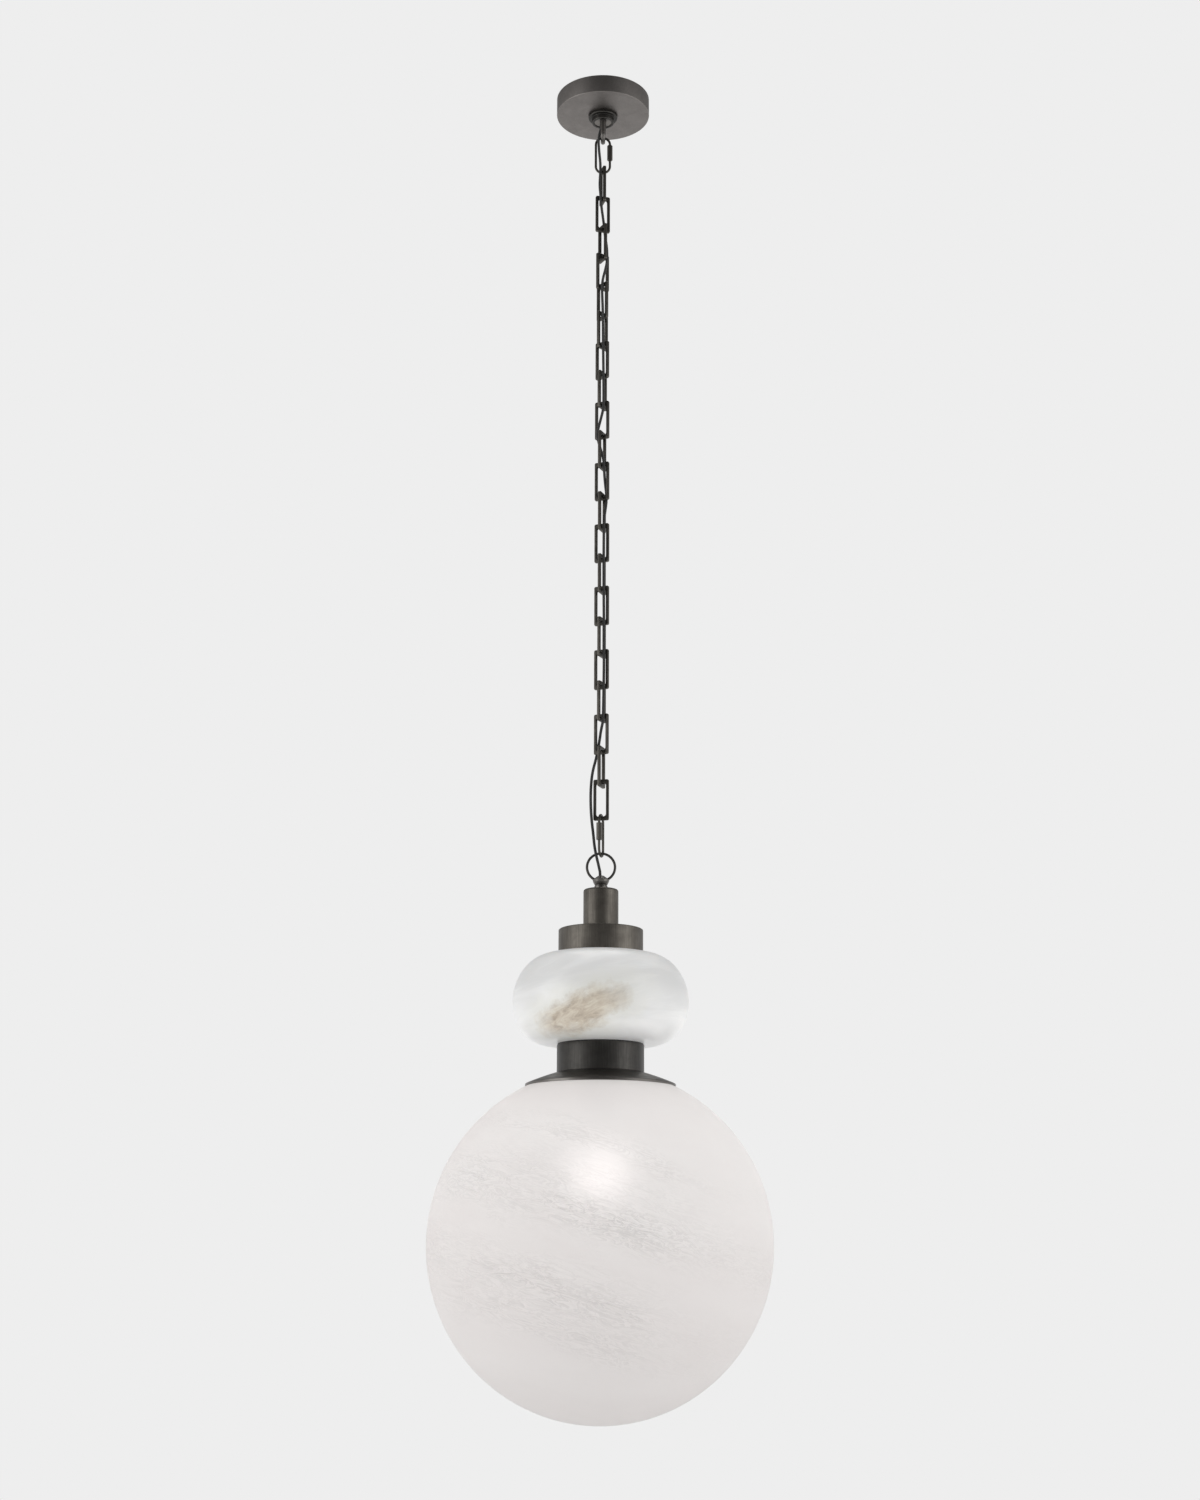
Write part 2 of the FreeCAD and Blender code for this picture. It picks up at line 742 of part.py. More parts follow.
# ---------------------------------------------------------------- centre pipe and lamp

holder_nut_top = holder_top - d.holder_thickness - d.washer_thickness
lampholder_top = holder_nut_top - d.pipe_nut_height
pipe_top = stem_cap_top + d.pipe_engagement
pipe_bottom = lampholder_top - d.lampholder_cap_height / 2
lamp_top = pipe_bottom - d.sheet_wall - d.hang_gap


def centre_pipe():
    return lathe("centre_pipe", ring_section(d.pipe_bore / 2, d.pipe_diameter / 2, pipe_top - pipe_bottom), pipe_top)


def pipe_nuts():
    """One nut on the disk cap inside the stem cap, one under the flared cap and one under the holder strap."""
    bore = d.pipe_diameter + d.thread_clearance * 2
    across = d.pipe_nut_across_corners
    height = d.pipe_nut_height
    return solid_group("pipe_nuts", [
        hex_nut("disk_nut", across, bore, height, disk_cap_top + d.washer_thickness + height),
        hex_nut("cap_nut", across, bore, height, flared_cap_top - d.sheet_wall - d.washer_thickness),
        hex_nut("holder_nut", across, bore, height, holder_nut_top),
    ])


def pipe_washers():
    inner = d.pipe_diameter / 2 + d.thread_clearance
    section = ring_section(inner, d.washer_diameter / 2, d.washer_thickness)
    return solid_group("pipe_washers", [
        lathe("disk_washer", section, disk_cap_top + d.washer_thickness),
        lathe("cap_washer", section, flared_cap_top - d.sheet_wall),
        lathe("holder_washer", section, holder_top - d.holder_thickness),
    ])


def lampholder_cap():
    """The dished cap on the pipe's end, over the lampholder."""
    outer = d.lampholder_cap_diameter / 2
    hole = d.pipe_diameter / 2 + d.thread_clearance
    height = d.lampholder_cap_height
    slope = d.lampholder_cap_height / 2
    return lathe("lampholder_cap", [
        (hole, 0),
        (outer - slope, 0),
        (outer, slope),
        (outer, height),
        (outer - d.sheet_wall, height),
        (outer - d.sheet_wall, slope + d.sheet_wall),
        (outer - slope, d.sheet_wall),
        (hole, d.sheet_wall),
    ], lampholder_top)


def lampholder():
    """The insulating shell, closed above but for the cord's hole, and open below for the lamp."""
    outer = d.lampholder_cap_diameter / 2 - d.sheet_wall - d.hang_gap
    bore = d.lamp_base_diameter / 2 + d.thread_clearance
    floor = d.lampholder_length - d.lamp_base_length
    cord_way = d.cord_diameter / 2 + d.cord_clearance
    return lathe("lampholder", [
        (cord_way, 0),
        (outer - BREAK, 0),
        (outer, BREAK),
        (outer, d.lampholder_length),
        (bore, d.lampholder_length),
        (bore, floor),
        (cord_way, floor),
    ], lamp_top)


lamp_seat = lamp_top - (d.lampholder_length - d.lamp_base_length)


def lamp_base():
    """The lamp's screw shell, with its tapered contact end up."""
    outer = d.lamp_base_diameter / 2
    return lathe("lamp_base", [
        (0, 0),
        (outer / 3, 0),
        (outer, outer / 2),
        (outer, d.lamp_base_length),
        (0, d.lamp_base_length),
    ], lamp_seat)


def lamp_glass():
    """The pear-shaped bulb below the lampholder's mouth."""
    neck = d.lamp_neck_diameter / 2
    belly = d.lamp_glass_diameter / 2
    tall = d.lamp_glass_length
    ball = tall - belly
    corners = [(0, 0), (neck, 0), (neck * 1.15, tall * 0.18), (belly * 0.86, ball - belly * 0.5)]
    for step in range(5):
        angle = math.pi / 2 * step / 4
        corners.append((belly * math.cos(angle), ball + belly * math.sin(angle)))
    corners[-1] = (0, tall)
    return lathe("lamp_glass", corners, lamp_seat - d.lamp_base_length)


# ---------------------------------------------------------------- cord

# Points of the cord's middle line below the loop, chosen by hand along the chain.
CORD_ROUTE = [
    (0.0, 0.0, 9.0), (0.0, 0.0, -31.0), (-3.6, -2.2, -46.0), (-6.0, -4.8, -60.0), (-5.0, -4.8, -78.0),
    (-3.4, -4.5, -92.0), (-3.1, -4.4, -106.0), (-4.3, -1.2, -125.0), (-2.9, -5.5, -141.0), (-2.6, -5.7, -152.0),
    (2.0, 5.6, -181.0), (2.6, 5.6, -192.0), (4.9, 2.4, -207.0), (6.0, -0.5, -221.0), (5.8, -2.0, -236.0),
    (3.0, -4.7, -250.0), (0.0, -6.4, -263.0), (-0.8, -6.5, -276.0), (0.7, -7.2, -311.0), (0.9, -6.0, -352.0),
    (1.5, -6.2, -393.0), (1.8, -6.2, -427.0), (1.5, -6.3, -442.0), (-2.2, -4.6, -457.0), (-5.9, -2.3, -471.0),
    (-5.6, -2.1, -482.0), (-1.3, -3.5, -497.0), (2.2, -5.7, -512.0), (2.5, -5.7, -522.0), (3.5, -1.4, -537.5),
    (5.5, 2.4, -553.0), (5.8, 2.2, -563.0), (4.2, -2.7, -578.0), (2.5, -5.9, -591.0), (2.4, -6.0, -612.0),
    (2.3, -5.9, -641.0), (2.4, -6.0, -682.0), (2.8, -6.0, -723.0), (3.0, -6.2, -764.0),
    (2.8, -6.1, -803.0), (2.2, -6.0, -842.0), (1.9, -5.8, -852.5), (-0.6, -0.6, -863.0), (-2.0, 4.0, -872.5),
    (-3.8, 7.4, -883.0), (-6.6, 8.4, -897.0), (-11.0, 6.8, -914.0), (-12.8, 3.2, -935.0), (-12.7, -0.6, -958.0),
    (-11.4, -3.8, -977.0), (-9.4, -5.3, -993.0), (-8.0, -5.2, -1008.0), (-5.6, -4.2, -1020.0),
    (-2.6, -2.2, -1032.0), (0.0, 0.0, -1044.0), (0.0, 0.0, -1290.0),
]


def rounded_route(points):
    """Straight runs joined by tangent arcs, each arc as large as its two runs allow. Prints the radii."""
    corners = [Vector(*point) for point in points]
    edges = []
    radii = []
    here = corners[0]
    for before, corner, after in zip(corners, corners[1:], corners[2:]):
        inward = (corner - before).normalize()
        outward = (after - corner).normalize()
        turn = inward.getAngle(outward)
        shorter = min(before.distanceToPoint(corner), corner.distanceToPoint(after))
        reach = 0.45 * shorter
        radius = reach / math.tan(turn / 2)
        radii.append(radius)
        start = corner - inward * reach
        end = corner + outward * reach
        bisector = (outward - inward).normalize()
        middle = corner + bisector * (radius / math.cos(turn / 2) - radius)
        edges.append(Part.LineSegment(here, start).toShape())
        edges.append(Part.Arc(start, middle, end).toShape())
        here = end
    edges.append(Part.LineSegment(here, corners[-1]).toShape())
    print("cord radii, mm:", [round(radius) for radius in radii])
    return Part.Wire(edges)


def tube(route, diameter):
    """A slender six-sided tube, of a round tube's section area, down a route that starts straight down."""
    start = route.Vertexes[0].Point
    area = math.pi * diameter ** 2 / 4
    corner_radius = math.sqrt(2 * area / (CORD_SIDES * math.sin(2 * math.pi / CORD_SIDES)))
    corners = [
        start + about_z(360 * (side + 0.5) / CORD_SIDES).multVec(Vector(corner_radius, 0, 0))
        for side in range(CORD_SIDES)
    ]
    section = Part.makePolygon(corners + corners[:1])
    solid = route.makePipeShell([section], True, False)
    expected = area * route.Length
    print(f"cord length {route.Length:.1f} mm, volume off by {abs(solid.Volume - expected) / expected:.4%}")
    return solid


def cord():
    return shape_piece("cord", tube(rounded_route(CORD_ROUTE), d.cord_diameter.number))


def lead_frame(side):
    """Where one bared lead leaves the cord's upper end, leaning outwards."""
    lean = Rotation(Vector(0, 1, 0), LEAD_LEAN * side)
    start = Vector(d.lead_diameter.number * 0.8 * side, 0, CORD_ROUTE[0][2] + d.lead_diameter.number / 2)
    return start, lean


def lead_tails():
    pieces = []
    for name, side in (("left", -1), ("right", 1)):
        start, lean = lead_frame(side)
        pieces.append(primitive("Part::Cylinder", f"lead_tail_{name}", FreeCAD.Placement(start, lean),
                                Radius=d.lead_diameter / 2, Height=d.lead_length))
    return solid_group("lead_tails", pieces)


def wire_connectors():
    """A conical cap over the end of each lead."""
    pieces = []
    inset = d.lead_length - d.connector_length / 2
    for name, side in (("left", -1), ("right", 1)):
        start, lean = lead_frame(side)
        foot = FreeCAD.Placement(start + lean.multVec(Vector(0, 0, inset.number)), lean)
        cap = primitive("Part::Cone", f"connector_{name}_cap", foot, Radius1=d.connector_diameter / 2,
                        Radius2=d.connector_diameter / 3, Height=d.connector_length)
        hole = primitive("Part::Cylinder", f"connector_{name}_hole", foot,
                         Radius=d.lead_diameter / 2 + d.thread_clearance, Height=d.connector_length / 2)
        pieces.append(cut(f"connector_{name}", cap, hole))
    return solid_group("wire_connectors", pieces)


# ---------------------------------------------------------------- assembly

pieces = [
    canopy(), screw_collar(), crossbar(), earth_screw(), nipple(), nipple_locknut(), canopy_loop(),
    quick_link("upper_quick_link", upper_quick_link_top, 0.0),
    quick_link_sleeve("upper_sleeve", upper_quick_link_top, 0.0),
]
pieces += [chain_link(number) for number in range(1, len(LINK_TWIST) + 1)]
pieces += [
    quick_link("lower_quick_link", lower_quick_link_top, LOWER_QUICK_LINK_TURN),
    quick_link_sleeve("lower_sleeve", lower_quick_link_top, LOWER_QUICK_LINK_TURN),
    ring_loop(), stem_cap(),
    open_cup("disk_cap", d.disk_cap_diameter / 2, d.disk_cap_height, disk_cap_top),
    stone_gasket("upper_gasket", d.disk_cap_diameter / 2, disk_cap_bottom),
    alabaster_ring(),
    stone_gasket("lower_gasket", neck_collar_radius, stone_bottom),
    open_cup("neck_collar", neck_collar_radius, d.neck_collar_height, neck_collar_top),
    flared_cap(), globe_gasket(), globe(), globe_holder(), holder_pads(),
    centre_pipe(), pipe_nuts(), pipe_washers(),
    lampholder_cap(), lampholder(), lamp_base(), lamp_glass(),
    cord(), lead_tails(), wire_connectors(),
]
doc.recompute()

for item in doc.Objects:
    if "Invalid" in item.State or "Error" in item.State:
        raise RuntimeError(f"{item.Label} did not build: {item.State}")
for piece in pieces:
    if piece.Shape.isNull() or not piece.Shape.isValid():
        raise RuntimeError(f"{piece.Label} has no valid shape")

os.makedirs("parts", exist_ok=True)
for piece in pieces:
    piece.Shape.exportStep(os.path.join("parts", f"{piece.Label}.step"))
print(len(pieces), "sub-parts written")
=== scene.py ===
# %% [markdown]
# # A globe pendant on a chain
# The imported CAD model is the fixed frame. This script dresses it: every visible surface gets a procedural
# finish, and the pieces whose softness the CAD solids leave out (rounded rims, the smooth globe, the
# polished stone, the woven cord) are modelled again over the same sizes.

import math

import bmesh
import bpy
from mathutils import Matrix, Vector


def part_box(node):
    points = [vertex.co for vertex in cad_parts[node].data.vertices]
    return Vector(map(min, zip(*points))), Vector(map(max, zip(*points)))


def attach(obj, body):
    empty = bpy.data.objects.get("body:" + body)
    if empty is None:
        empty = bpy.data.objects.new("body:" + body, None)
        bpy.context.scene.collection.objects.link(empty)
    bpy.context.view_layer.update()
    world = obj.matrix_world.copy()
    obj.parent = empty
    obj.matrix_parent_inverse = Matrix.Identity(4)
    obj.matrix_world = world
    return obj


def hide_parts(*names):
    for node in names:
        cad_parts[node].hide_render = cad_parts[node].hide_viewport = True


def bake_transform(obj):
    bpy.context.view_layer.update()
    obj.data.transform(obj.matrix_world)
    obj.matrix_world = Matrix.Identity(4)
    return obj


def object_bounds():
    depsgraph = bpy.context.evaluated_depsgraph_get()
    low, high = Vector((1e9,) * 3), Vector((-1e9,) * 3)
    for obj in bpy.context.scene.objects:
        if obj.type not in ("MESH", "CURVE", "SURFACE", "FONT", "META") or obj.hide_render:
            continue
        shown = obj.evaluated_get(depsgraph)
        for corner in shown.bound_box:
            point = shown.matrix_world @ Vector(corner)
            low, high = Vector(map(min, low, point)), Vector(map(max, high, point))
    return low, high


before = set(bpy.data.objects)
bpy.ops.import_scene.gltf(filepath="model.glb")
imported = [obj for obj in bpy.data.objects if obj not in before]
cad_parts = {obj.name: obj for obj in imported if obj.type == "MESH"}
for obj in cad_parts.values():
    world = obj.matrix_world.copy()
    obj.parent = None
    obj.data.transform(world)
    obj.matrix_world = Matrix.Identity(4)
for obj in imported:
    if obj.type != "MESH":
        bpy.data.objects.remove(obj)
cad_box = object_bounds()
scene = bpy.context.scene

# %% [markdown]
# ## Camera
# The photograph is taken from a little below the globe, looking up along +Y. The lens and the tilt were
# found by matching the canopy, the stone and the globe, which pins them down well because their heights
# differ so much.

# %% Camera
GLOBE_LOW, GLOBE_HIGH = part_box("globe")
GLOBE_RADIUS = (GLOBE_HIGH[0] - GLOBE_LOW[0]) / 2
GLOBE_CENTRE = GLOBE_LOW[2] + GLOBE_RADIUS

CAMERA_ASIDE = -0.0016
CAMERA_DISTANCE = 2.547
CAMERA_BELOW_GLOBE = 0.068
CAMERA_PITCH = math.radians(14.44)
CAMERA_ROLL = math.radians(0.161)
LENS, SENSOR = 51.76, 36

camera_data = bpy.data.cameras.new("camera")
camera_data.lens = LENS
camera_data.sensor_width = SENSOR
camera = bpy.data.objects.new("camera", camera_data)
scene.collection.objects.link(camera)
camera.matrix_world = (
    Matrix.Translation((CAMERA_ASIDE, -CAMERA_DISTANCE, GLOBE_CENTRE - CAMERA_BELOW_GLOBE))
    @ Matrix.Rotation(math.pi / 2 + CAMERA_PITCH, 4, "X")
    @ Matrix.Rotation(CAMERA_ROLL, 4, "Z")
)
scene.camera = camera
scene.view_settings.view_transform = "Standard"
print("globe radius", round(GLOBE_RADIUS, 4), "centre", round(GLOBE_CENTRE, 4))

# %% [markdown]
# ## Studio
# The object hangs in a pale room. The camera sees one flat pale grey. Reflections see a room that is
# bright below and dimmer above, with a soft dark patch in front, where a photographer stands: that patch
# draws the dark stripe down the turned metal, and the dim ceiling darkens the canopy's side against its
# bright underside. Diffuse light comes from the same room, and two large soft lamps give the shape.

# %% World
PALE = 0.855
AMBIENT_BELOW, AMBIENT_ABOVE = 1.0, 0.68


def connect(tree, source, socket_out, target, socket_in):
    tree.links.new(source.outputs[socket_out], target.inputs[socket_in])


def grey(value):
    return (value, value, value)


def ramp(tree, source, socket, stops):
    node = tree.nodes.new("ShaderNodeValToRGB")
    elements = node.color_ramp.elements
    while len(elements) < len(stops):
        elements.new(0.5)
    for element, (position, colour) in zip(elements, stops):
        element.position = position
        element.color = (*colour, 1)
    connect(tree, source, socket, node, "Fac")
    return node


def light_source(tree, name):
    node = tree.nodes.new("ShaderNodeBackground")
    node.label = name
    return node


def light_by_ray(tree, ray_kinds, chosen, other):
    """Gives one light to the named kinds of ray and the other light to the rest."""
    rays = tree.nodes.new("ShaderNodeLightPath")
    factor = rays.outputs[ray_kinds[0]]
    for kind in ray_kinds[1:]:
        either = tree.nodes.new("ShaderNodeMath")
        either.operation = "MAXIMUM"
        tree.links.new(factor, either.inputs[0])
        tree.links.new(rays.outputs[kind], either.inputs[1])
        factor = either.outputs[0]
    mix = tree.nodes.new("ShaderNodeMixShader")
    tree.links.new(factor, mix.inputs[0])
    tree.links.new(other.outputs[0], mix.inputs[1])
    tree.links.new(chosen.outputs[0], mix.inputs[2])
    return mix


def build_world():
    world = bpy.data.worlds.new("studio")
    world.use_nodes = True
    tree = world.node_tree
    tree.nodes.clear()
    direction = tree.nodes.new("ShaderNodeTexCoord")
    height = tree.nodes.new("ShaderNodeSeparateXYZ")
    connect(tree, direction, "Generated", height, "Vector")
    upward = tree.nodes.new("ShaderNodeMapRange")
    upward.inputs["From Min"].default_value = -1
    connect(tree, height, "Z", upward, "Value")
    ambient = light_source(tree, "diffuse light")
    fall = ramp(tree, upward, "Result", [(0.38, grey(AMBIENT_BELOW)), (0.66, grey(AMBIENT_ABOVE))])
    connect(tree, fall, "Color", ambient, "Color")

    towards_camera = tree.nodes.new("ShaderNodeVectorMath")
    towards_camera.operation = "DOT_PRODUCT"
    towards_camera.inputs[1].default_value = (0, -0.94, 0.342)
    connect(tree, direction, "Generated", towards_camera, 0)
    patch = ramp(tree, towards_camera, "Value", [(0.55, grey(1.0)), (0.99, grey(0.21))])
    room = ramp(tree, upward, "Result", [(0.38, grey(1.0)), (0.57, grey(0.80)), (0.74, grey(0.20))])
    seen_by_metal = tree.nodes.new("ShaderNodeMix")
    seen_by_metal.data_type = "RGBA"
    seen_by_metal.blend_type = "MULTIPLY"
    seen_by_metal.inputs[0].default_value = 1.0
    connect(tree, patch, "Color", seen_by_metal, 6)
    connect(tree, room, "Color", seen_by_metal, 7)
    mirrored = light_source(tree, "reflections")
    tree.links.new(seen_by_metal.outputs[2], mirrored.inputs["Color"])

    backdrop = light_source(tree, "backdrop")
    backdrop.inputs["Color"].default_value = (PALE, PALE, PALE, 1)
    unseen = light_by_ray(tree, ["Is Glossy Ray"], mirrored, ambient)
    whole = light_by_ray(tree, ["Is Camera Ray", "Is Transmission Ray"], backdrop, unseen)
    output = tree.nodes.new("ShaderNodeOutputWorld")
    tree.links.new(whole.outputs[0], output.inputs["Surface"])
    scene.world = world


build_world()
print("world", scene.world.name)

# %% [markdown]
# ### Lamps
# Two large lamps stand at the sides, a little in front, and one hangs above and behind. All are aimed
# between the globe and the stone, and they are wide so that the metal shows broad soft bands.

# %% Lamps
AIM_LEVEL = GLOBE_CENTRE + 0.35


def soft_lamp(name, place, size, power):
    data = bpy.data.lights.new(name, "AREA")
    data.shape = "RECTANGLE"
    data.size, data.size_y = size
    data.energy = power
    lamp = bpy.data.objects.new(name, data)
    scene.collection.objects.link(lamp)
    lamp.location = place
    aim = Vector((0, 0, AIM_LEVEL)) - Vector(place)
    lamp.rotation_euler = aim.to_track_quat("-Z", "Y").to_euler()


soft_lamp("left lamp", (-2.5, -1.1, GLOBE_CENTRE + 0.9), (1.9, 2.4), 21)
soft_lamp("right lamp", (2.5, -1.0, GLOBE_CENTRE + 0.7), (1.9, 2.4), 17)
soft_lamp("top lamp", (0.0, 0.7, GLOBE_CENTRE + 3.0), (1.6, 1.6), 14)

# %% [markdown]
# ## Floor
# The pendant hangs, so the floor is well below it, out of the photograph's frame. It only carries the
# soft shadow that other views show.

# %% Floor
FLOOR_DROP, FLOOR_RADIUS = 1.3, 6.0
FLOOR_LEVEL = cad_box[0][2] - FLOOR_DROP


def build_floor():
    mesh = bpy.data.meshes.new("floor")
    shape = bmesh.new()
    bmesh.ops.create_circle(shape, cap_ends=True, segments=96, radius=FLOOR_RADIUS)
    bmesh.ops.translate(shape, verts=shape.verts, vec=(0, 0, FLOOR_LEVEL))
    shape.to_mesh(mesh)
    shape.free()
    floor = bpy.data.objects.new("floor", mesh)
    scene.collection.objects.link(floor)
    paint = bpy.data.materials.new("pale floor")
    paint.use_nodes = True
    surface = paint.node_tree.nodes["Principled BSDF"]
    surface.inputs["Base Color"].default_value = (0.82, 0.82, 0.82, 1)
    surface.inputs["Roughness"].default_value = 0.8
    mesh.materials.append(paint)


build_floor()
print("floor level", round(FLOOR_LEVEL, 3))

# %% [markdown]
# ## Finishes
# Each finish is one Principled surface. Colour, roughness and a fine bump come from noise in the object's
# own coordinates, in metres, so the grain stays the same size on every piece.

# %% Finish helpers
def new_finish(name, roughness=0.5, metallic=0.0):
    finish = bpy.data.materials.new(name)
    finish.use_nodes = True
    surface = finish.node_tree.nodes["Principled BSDF"]
    surface.inputs["Roughness"].default_value = roughness
    surface.inputs["Metallic"].default_value = metallic
    return finish, finish.node_tree, surface


def place_nodes(tree, scale=(1, 1, 1), turn=(0, 0, 0), centre=(0, 0, 0)):
    """Object coordinates about a centre, turned, then scaled, so the grain lies along the turned axes."""
    source = tree.nodes.new("ShaderNodeTexCoord")
    mapping = tree.nodes.new("ShaderNodeMapping")
    mapping.vector_type = "TEXTURE"
    mapping.inputs["Location"].default_value = centre
    mapping.inputs["Rotation"].default_value = turn
    mapping.inputs["Scale"].default_value = [1 / factor for factor in scale]
    connect(tree, source, "Object", mapping, "Vector")
    return mapping


def noise(tree, mapping, scale, detail=4.0, roughness=0.55, distortion=0.0):
    node = tree.nodes.new("ShaderNodeTexNoise")
    node.inputs["Scale"].default_value = scale
    node.inputs["Detail"].default_value = detail
    node.inputs["Roughness"].default_value = roughness
    node.inputs["Distortion"].default_value = distortion
    connect(tree, mapping, "Vector", node, "Vector")
    return node


def blend_colours(tree, factor, factor_socket, first, second, mode="MIX"):
    """Mixes two colour outputs by a factor output."""
    node = tree.nodes.new("ShaderNodeMix")
    node.data_type = "RGBA"
    node.blend_type = mode
    if isinstance(factor, float):
        node.inputs[0].default_value = factor
    else:
        tree.links.new(factor.outputs[factor_socket], node.inputs[0])
    for value, index in ((first, 6), (second, 7)):
        if isinstance(value, tuple):
            node.inputs[index].default_value = (*value, 1)
        else:
            tree.links.new(value, node.inputs[index])
    return node.outputs[2]


def add_bump(tree, surface, height_socket, strength, distance):
    bump = tree.nodes.new("ShaderNodeBump")
    bump.inputs["Strength"].default_value = strength
    bump.inputs["Distance"].default_value = distance
    tree.links.new(height_socket, bump.inputs["Height"])
    tree.links.new(bump.outputs["Normal"], surface.inputs["Normal"])


print("finish helpers ready")

# %% [markdown]
# ### Dark bronze
# The metal is brass with a dark bronze finish, brushed down its length and rubbed a little paler on its
# edges. The streaks are noise stretched along Z, a cloudier noise gives the mottling of the patina, and
# pointiness finds the edges where handling has worn it.

# %% Dark bronze finishes
def dark_bronze(name, light, dark, edge, roughness, streak=(1, 1, 0.03), grain=900):
    finish, tree, surface = new_finish(name, roughness, 1.0)
    streaks = noise(tree, place_nodes(tree, streak), grain, 3)
    clouds = noise(tree, place_nodes(tree), 45, 5, 0.65, 0.4)
    patina = ramp(tree, clouds, "Fac", [(0.35, dark), (0.68, light)])
    rubbed = ramp(tree, streaks, "Fac", [(0.30, grey(0.82)), (0.72, grey(1.12))])
    colour = blend_colours(tree, 1.0, None, patina.outputs["Color"], rubbed.outputs["Color"], "MULTIPLY")
    shape = tree.nodes.new("ShaderNodeNewGeometry")
    worn = ramp(tree, shape, "Pointiness", [(0.515, grey(0.0)), (0.56, grey(0.55))])
    colour = blend_colours(tree, worn, "Color", colour, edge)
    tree.links.new(colour, surface.inputs["Base Color"])
    polish = ramp(tree, streaks, "Fac", [(0.25, grey(roughness + 0.07)), (0.75, grey(roughness - 0.07))])
    connect(tree, polish, "Color", surface, "Roughness")
    add_bump(tree, surface, streaks.outputs["Fac"], 0.12, 0.0002)
    return finish


sheet_bronze = dark_bronze("brushed dark bronze", (0.160, 0.148, 0.130), (0.112, 0.102, 0.090),
                           (0.26, 0.243, 0.215), 0.46)
# A lighter copy of the dark bronze, as painted light for the canopy's brightly lit underside; its even
# satin grain is its own.
painted_lighter_canopy_bronze = dark_bronze("satin canopy bronze painted lighter", (0.268, 0.250, 0.238), (0.223, 0.207, 0.197),
                            (0.26, 0.24, 0.22), 0.42, (1, 1, 1), 1400)
turned_bronze = dark_bronze("satin dark bronze", (0.180, 0.171, 0.160), (0.135, 0.128, 0.120),
                            (0.26, 0.24, 0.22), 0.36, (0.03, 0.03, 1), 700)
# Painted shade: a darker copy of the same dark bronze, for the two collars and the ring wire.
painted_darker_collar_bronze = dark_bronze("bronze painted darker", (0.070, 0.067, 0.063), (0.052, 0.050, 0.047),
                            (0.20, 0.19, 0.175), 0.42, (1, 1, 0.03), 900)
chain_bronze = dark_bronze("rubbed dark bronze", (0.100, 0.094, 0.084), (0.062, 0.058, 0.052),
                           (0.17, 0.158, 0.14), 0.42, (1, 1, 0.4), 260)
print("bronze finishes: 5")

# %% [markdown]
# ### Alabaster
# The stone is milky, with light sinking into it, so it has subsurface scattering under a low polish, and
# its underside has a painted glow: an emission, strongest at the bottom, that stands in for light come
# through from the globe. Faint cloudy bands run round it. One brown vein cloud lies across its front,
# rising to the right: its mask is a stretched, tilted distance from the cloud's middle, broken up by noise.
# Smaller clouds of the same kind lie further round.

# %% Alabaster finish
STONE_LOW, STONE_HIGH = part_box("alabaster_ring")
# Strength of the stone's painted glow at its bottom, an emission that stands in for light from the globe.
PAINTED_STONE_GLOW = 0.26
VEIN_CLOUDS = [
    # centre, half length along the slope, half height, slope in degrees, strength
    ((-0.025, -0.090, -1.2185), 0.078, 0.0290, 20.0, 1.0),
    ((0.085, 0.050, -1.185), 0.040, 0.012, -20.0, 0.7),
    ((-0.030, 0.097, -1.205), 0.052, 0.012, 15.0, 0.75),
]
VEIN_FRAY = (0.040, 0.040, 0.034)


def vein_mask(tree, centre, length, height, slope, strength):
    """A soft stretched blob round a point, with an edge frayed by noise."""
    here = place_nodes(tree)
    fray = noise(tree, here, 42, 6, 0.68)
    shift = tree.nodes.new("ShaderNodeVectorMath")
    shift.operation = "MULTIPLY_ADD"
    shift.inputs[1].default_value = VEIN_FRAY
    connect(tree, fray, "Color", shift, 0)
    connect(tree, here, "Vector", shift, 2)
    away = tree.nodes.new("ShaderNodeMapping")
    away.vector_type = "TEXTURE"
    away.inputs["Location"].default_value = [place + fray / 2 for place, fray in zip(centre, VEIN_FRAY)]
    away.inputs["Rotation"].default_value = (0, -math.radians(slope), 0)
    away.inputs["Scale"].default_value = (length, length, height)
    connect(tree, shift, "Vector", away, "Vector")
    distance = tree.nodes.new("ShaderNodeVectorMath")
    distance.operation = "LENGTH"
    connect(tree, away, "Vector", distance, 0)
    return ramp(tree, distance, "Value", [(0.25, grey(strength)), (1.15, grey(0.0))])


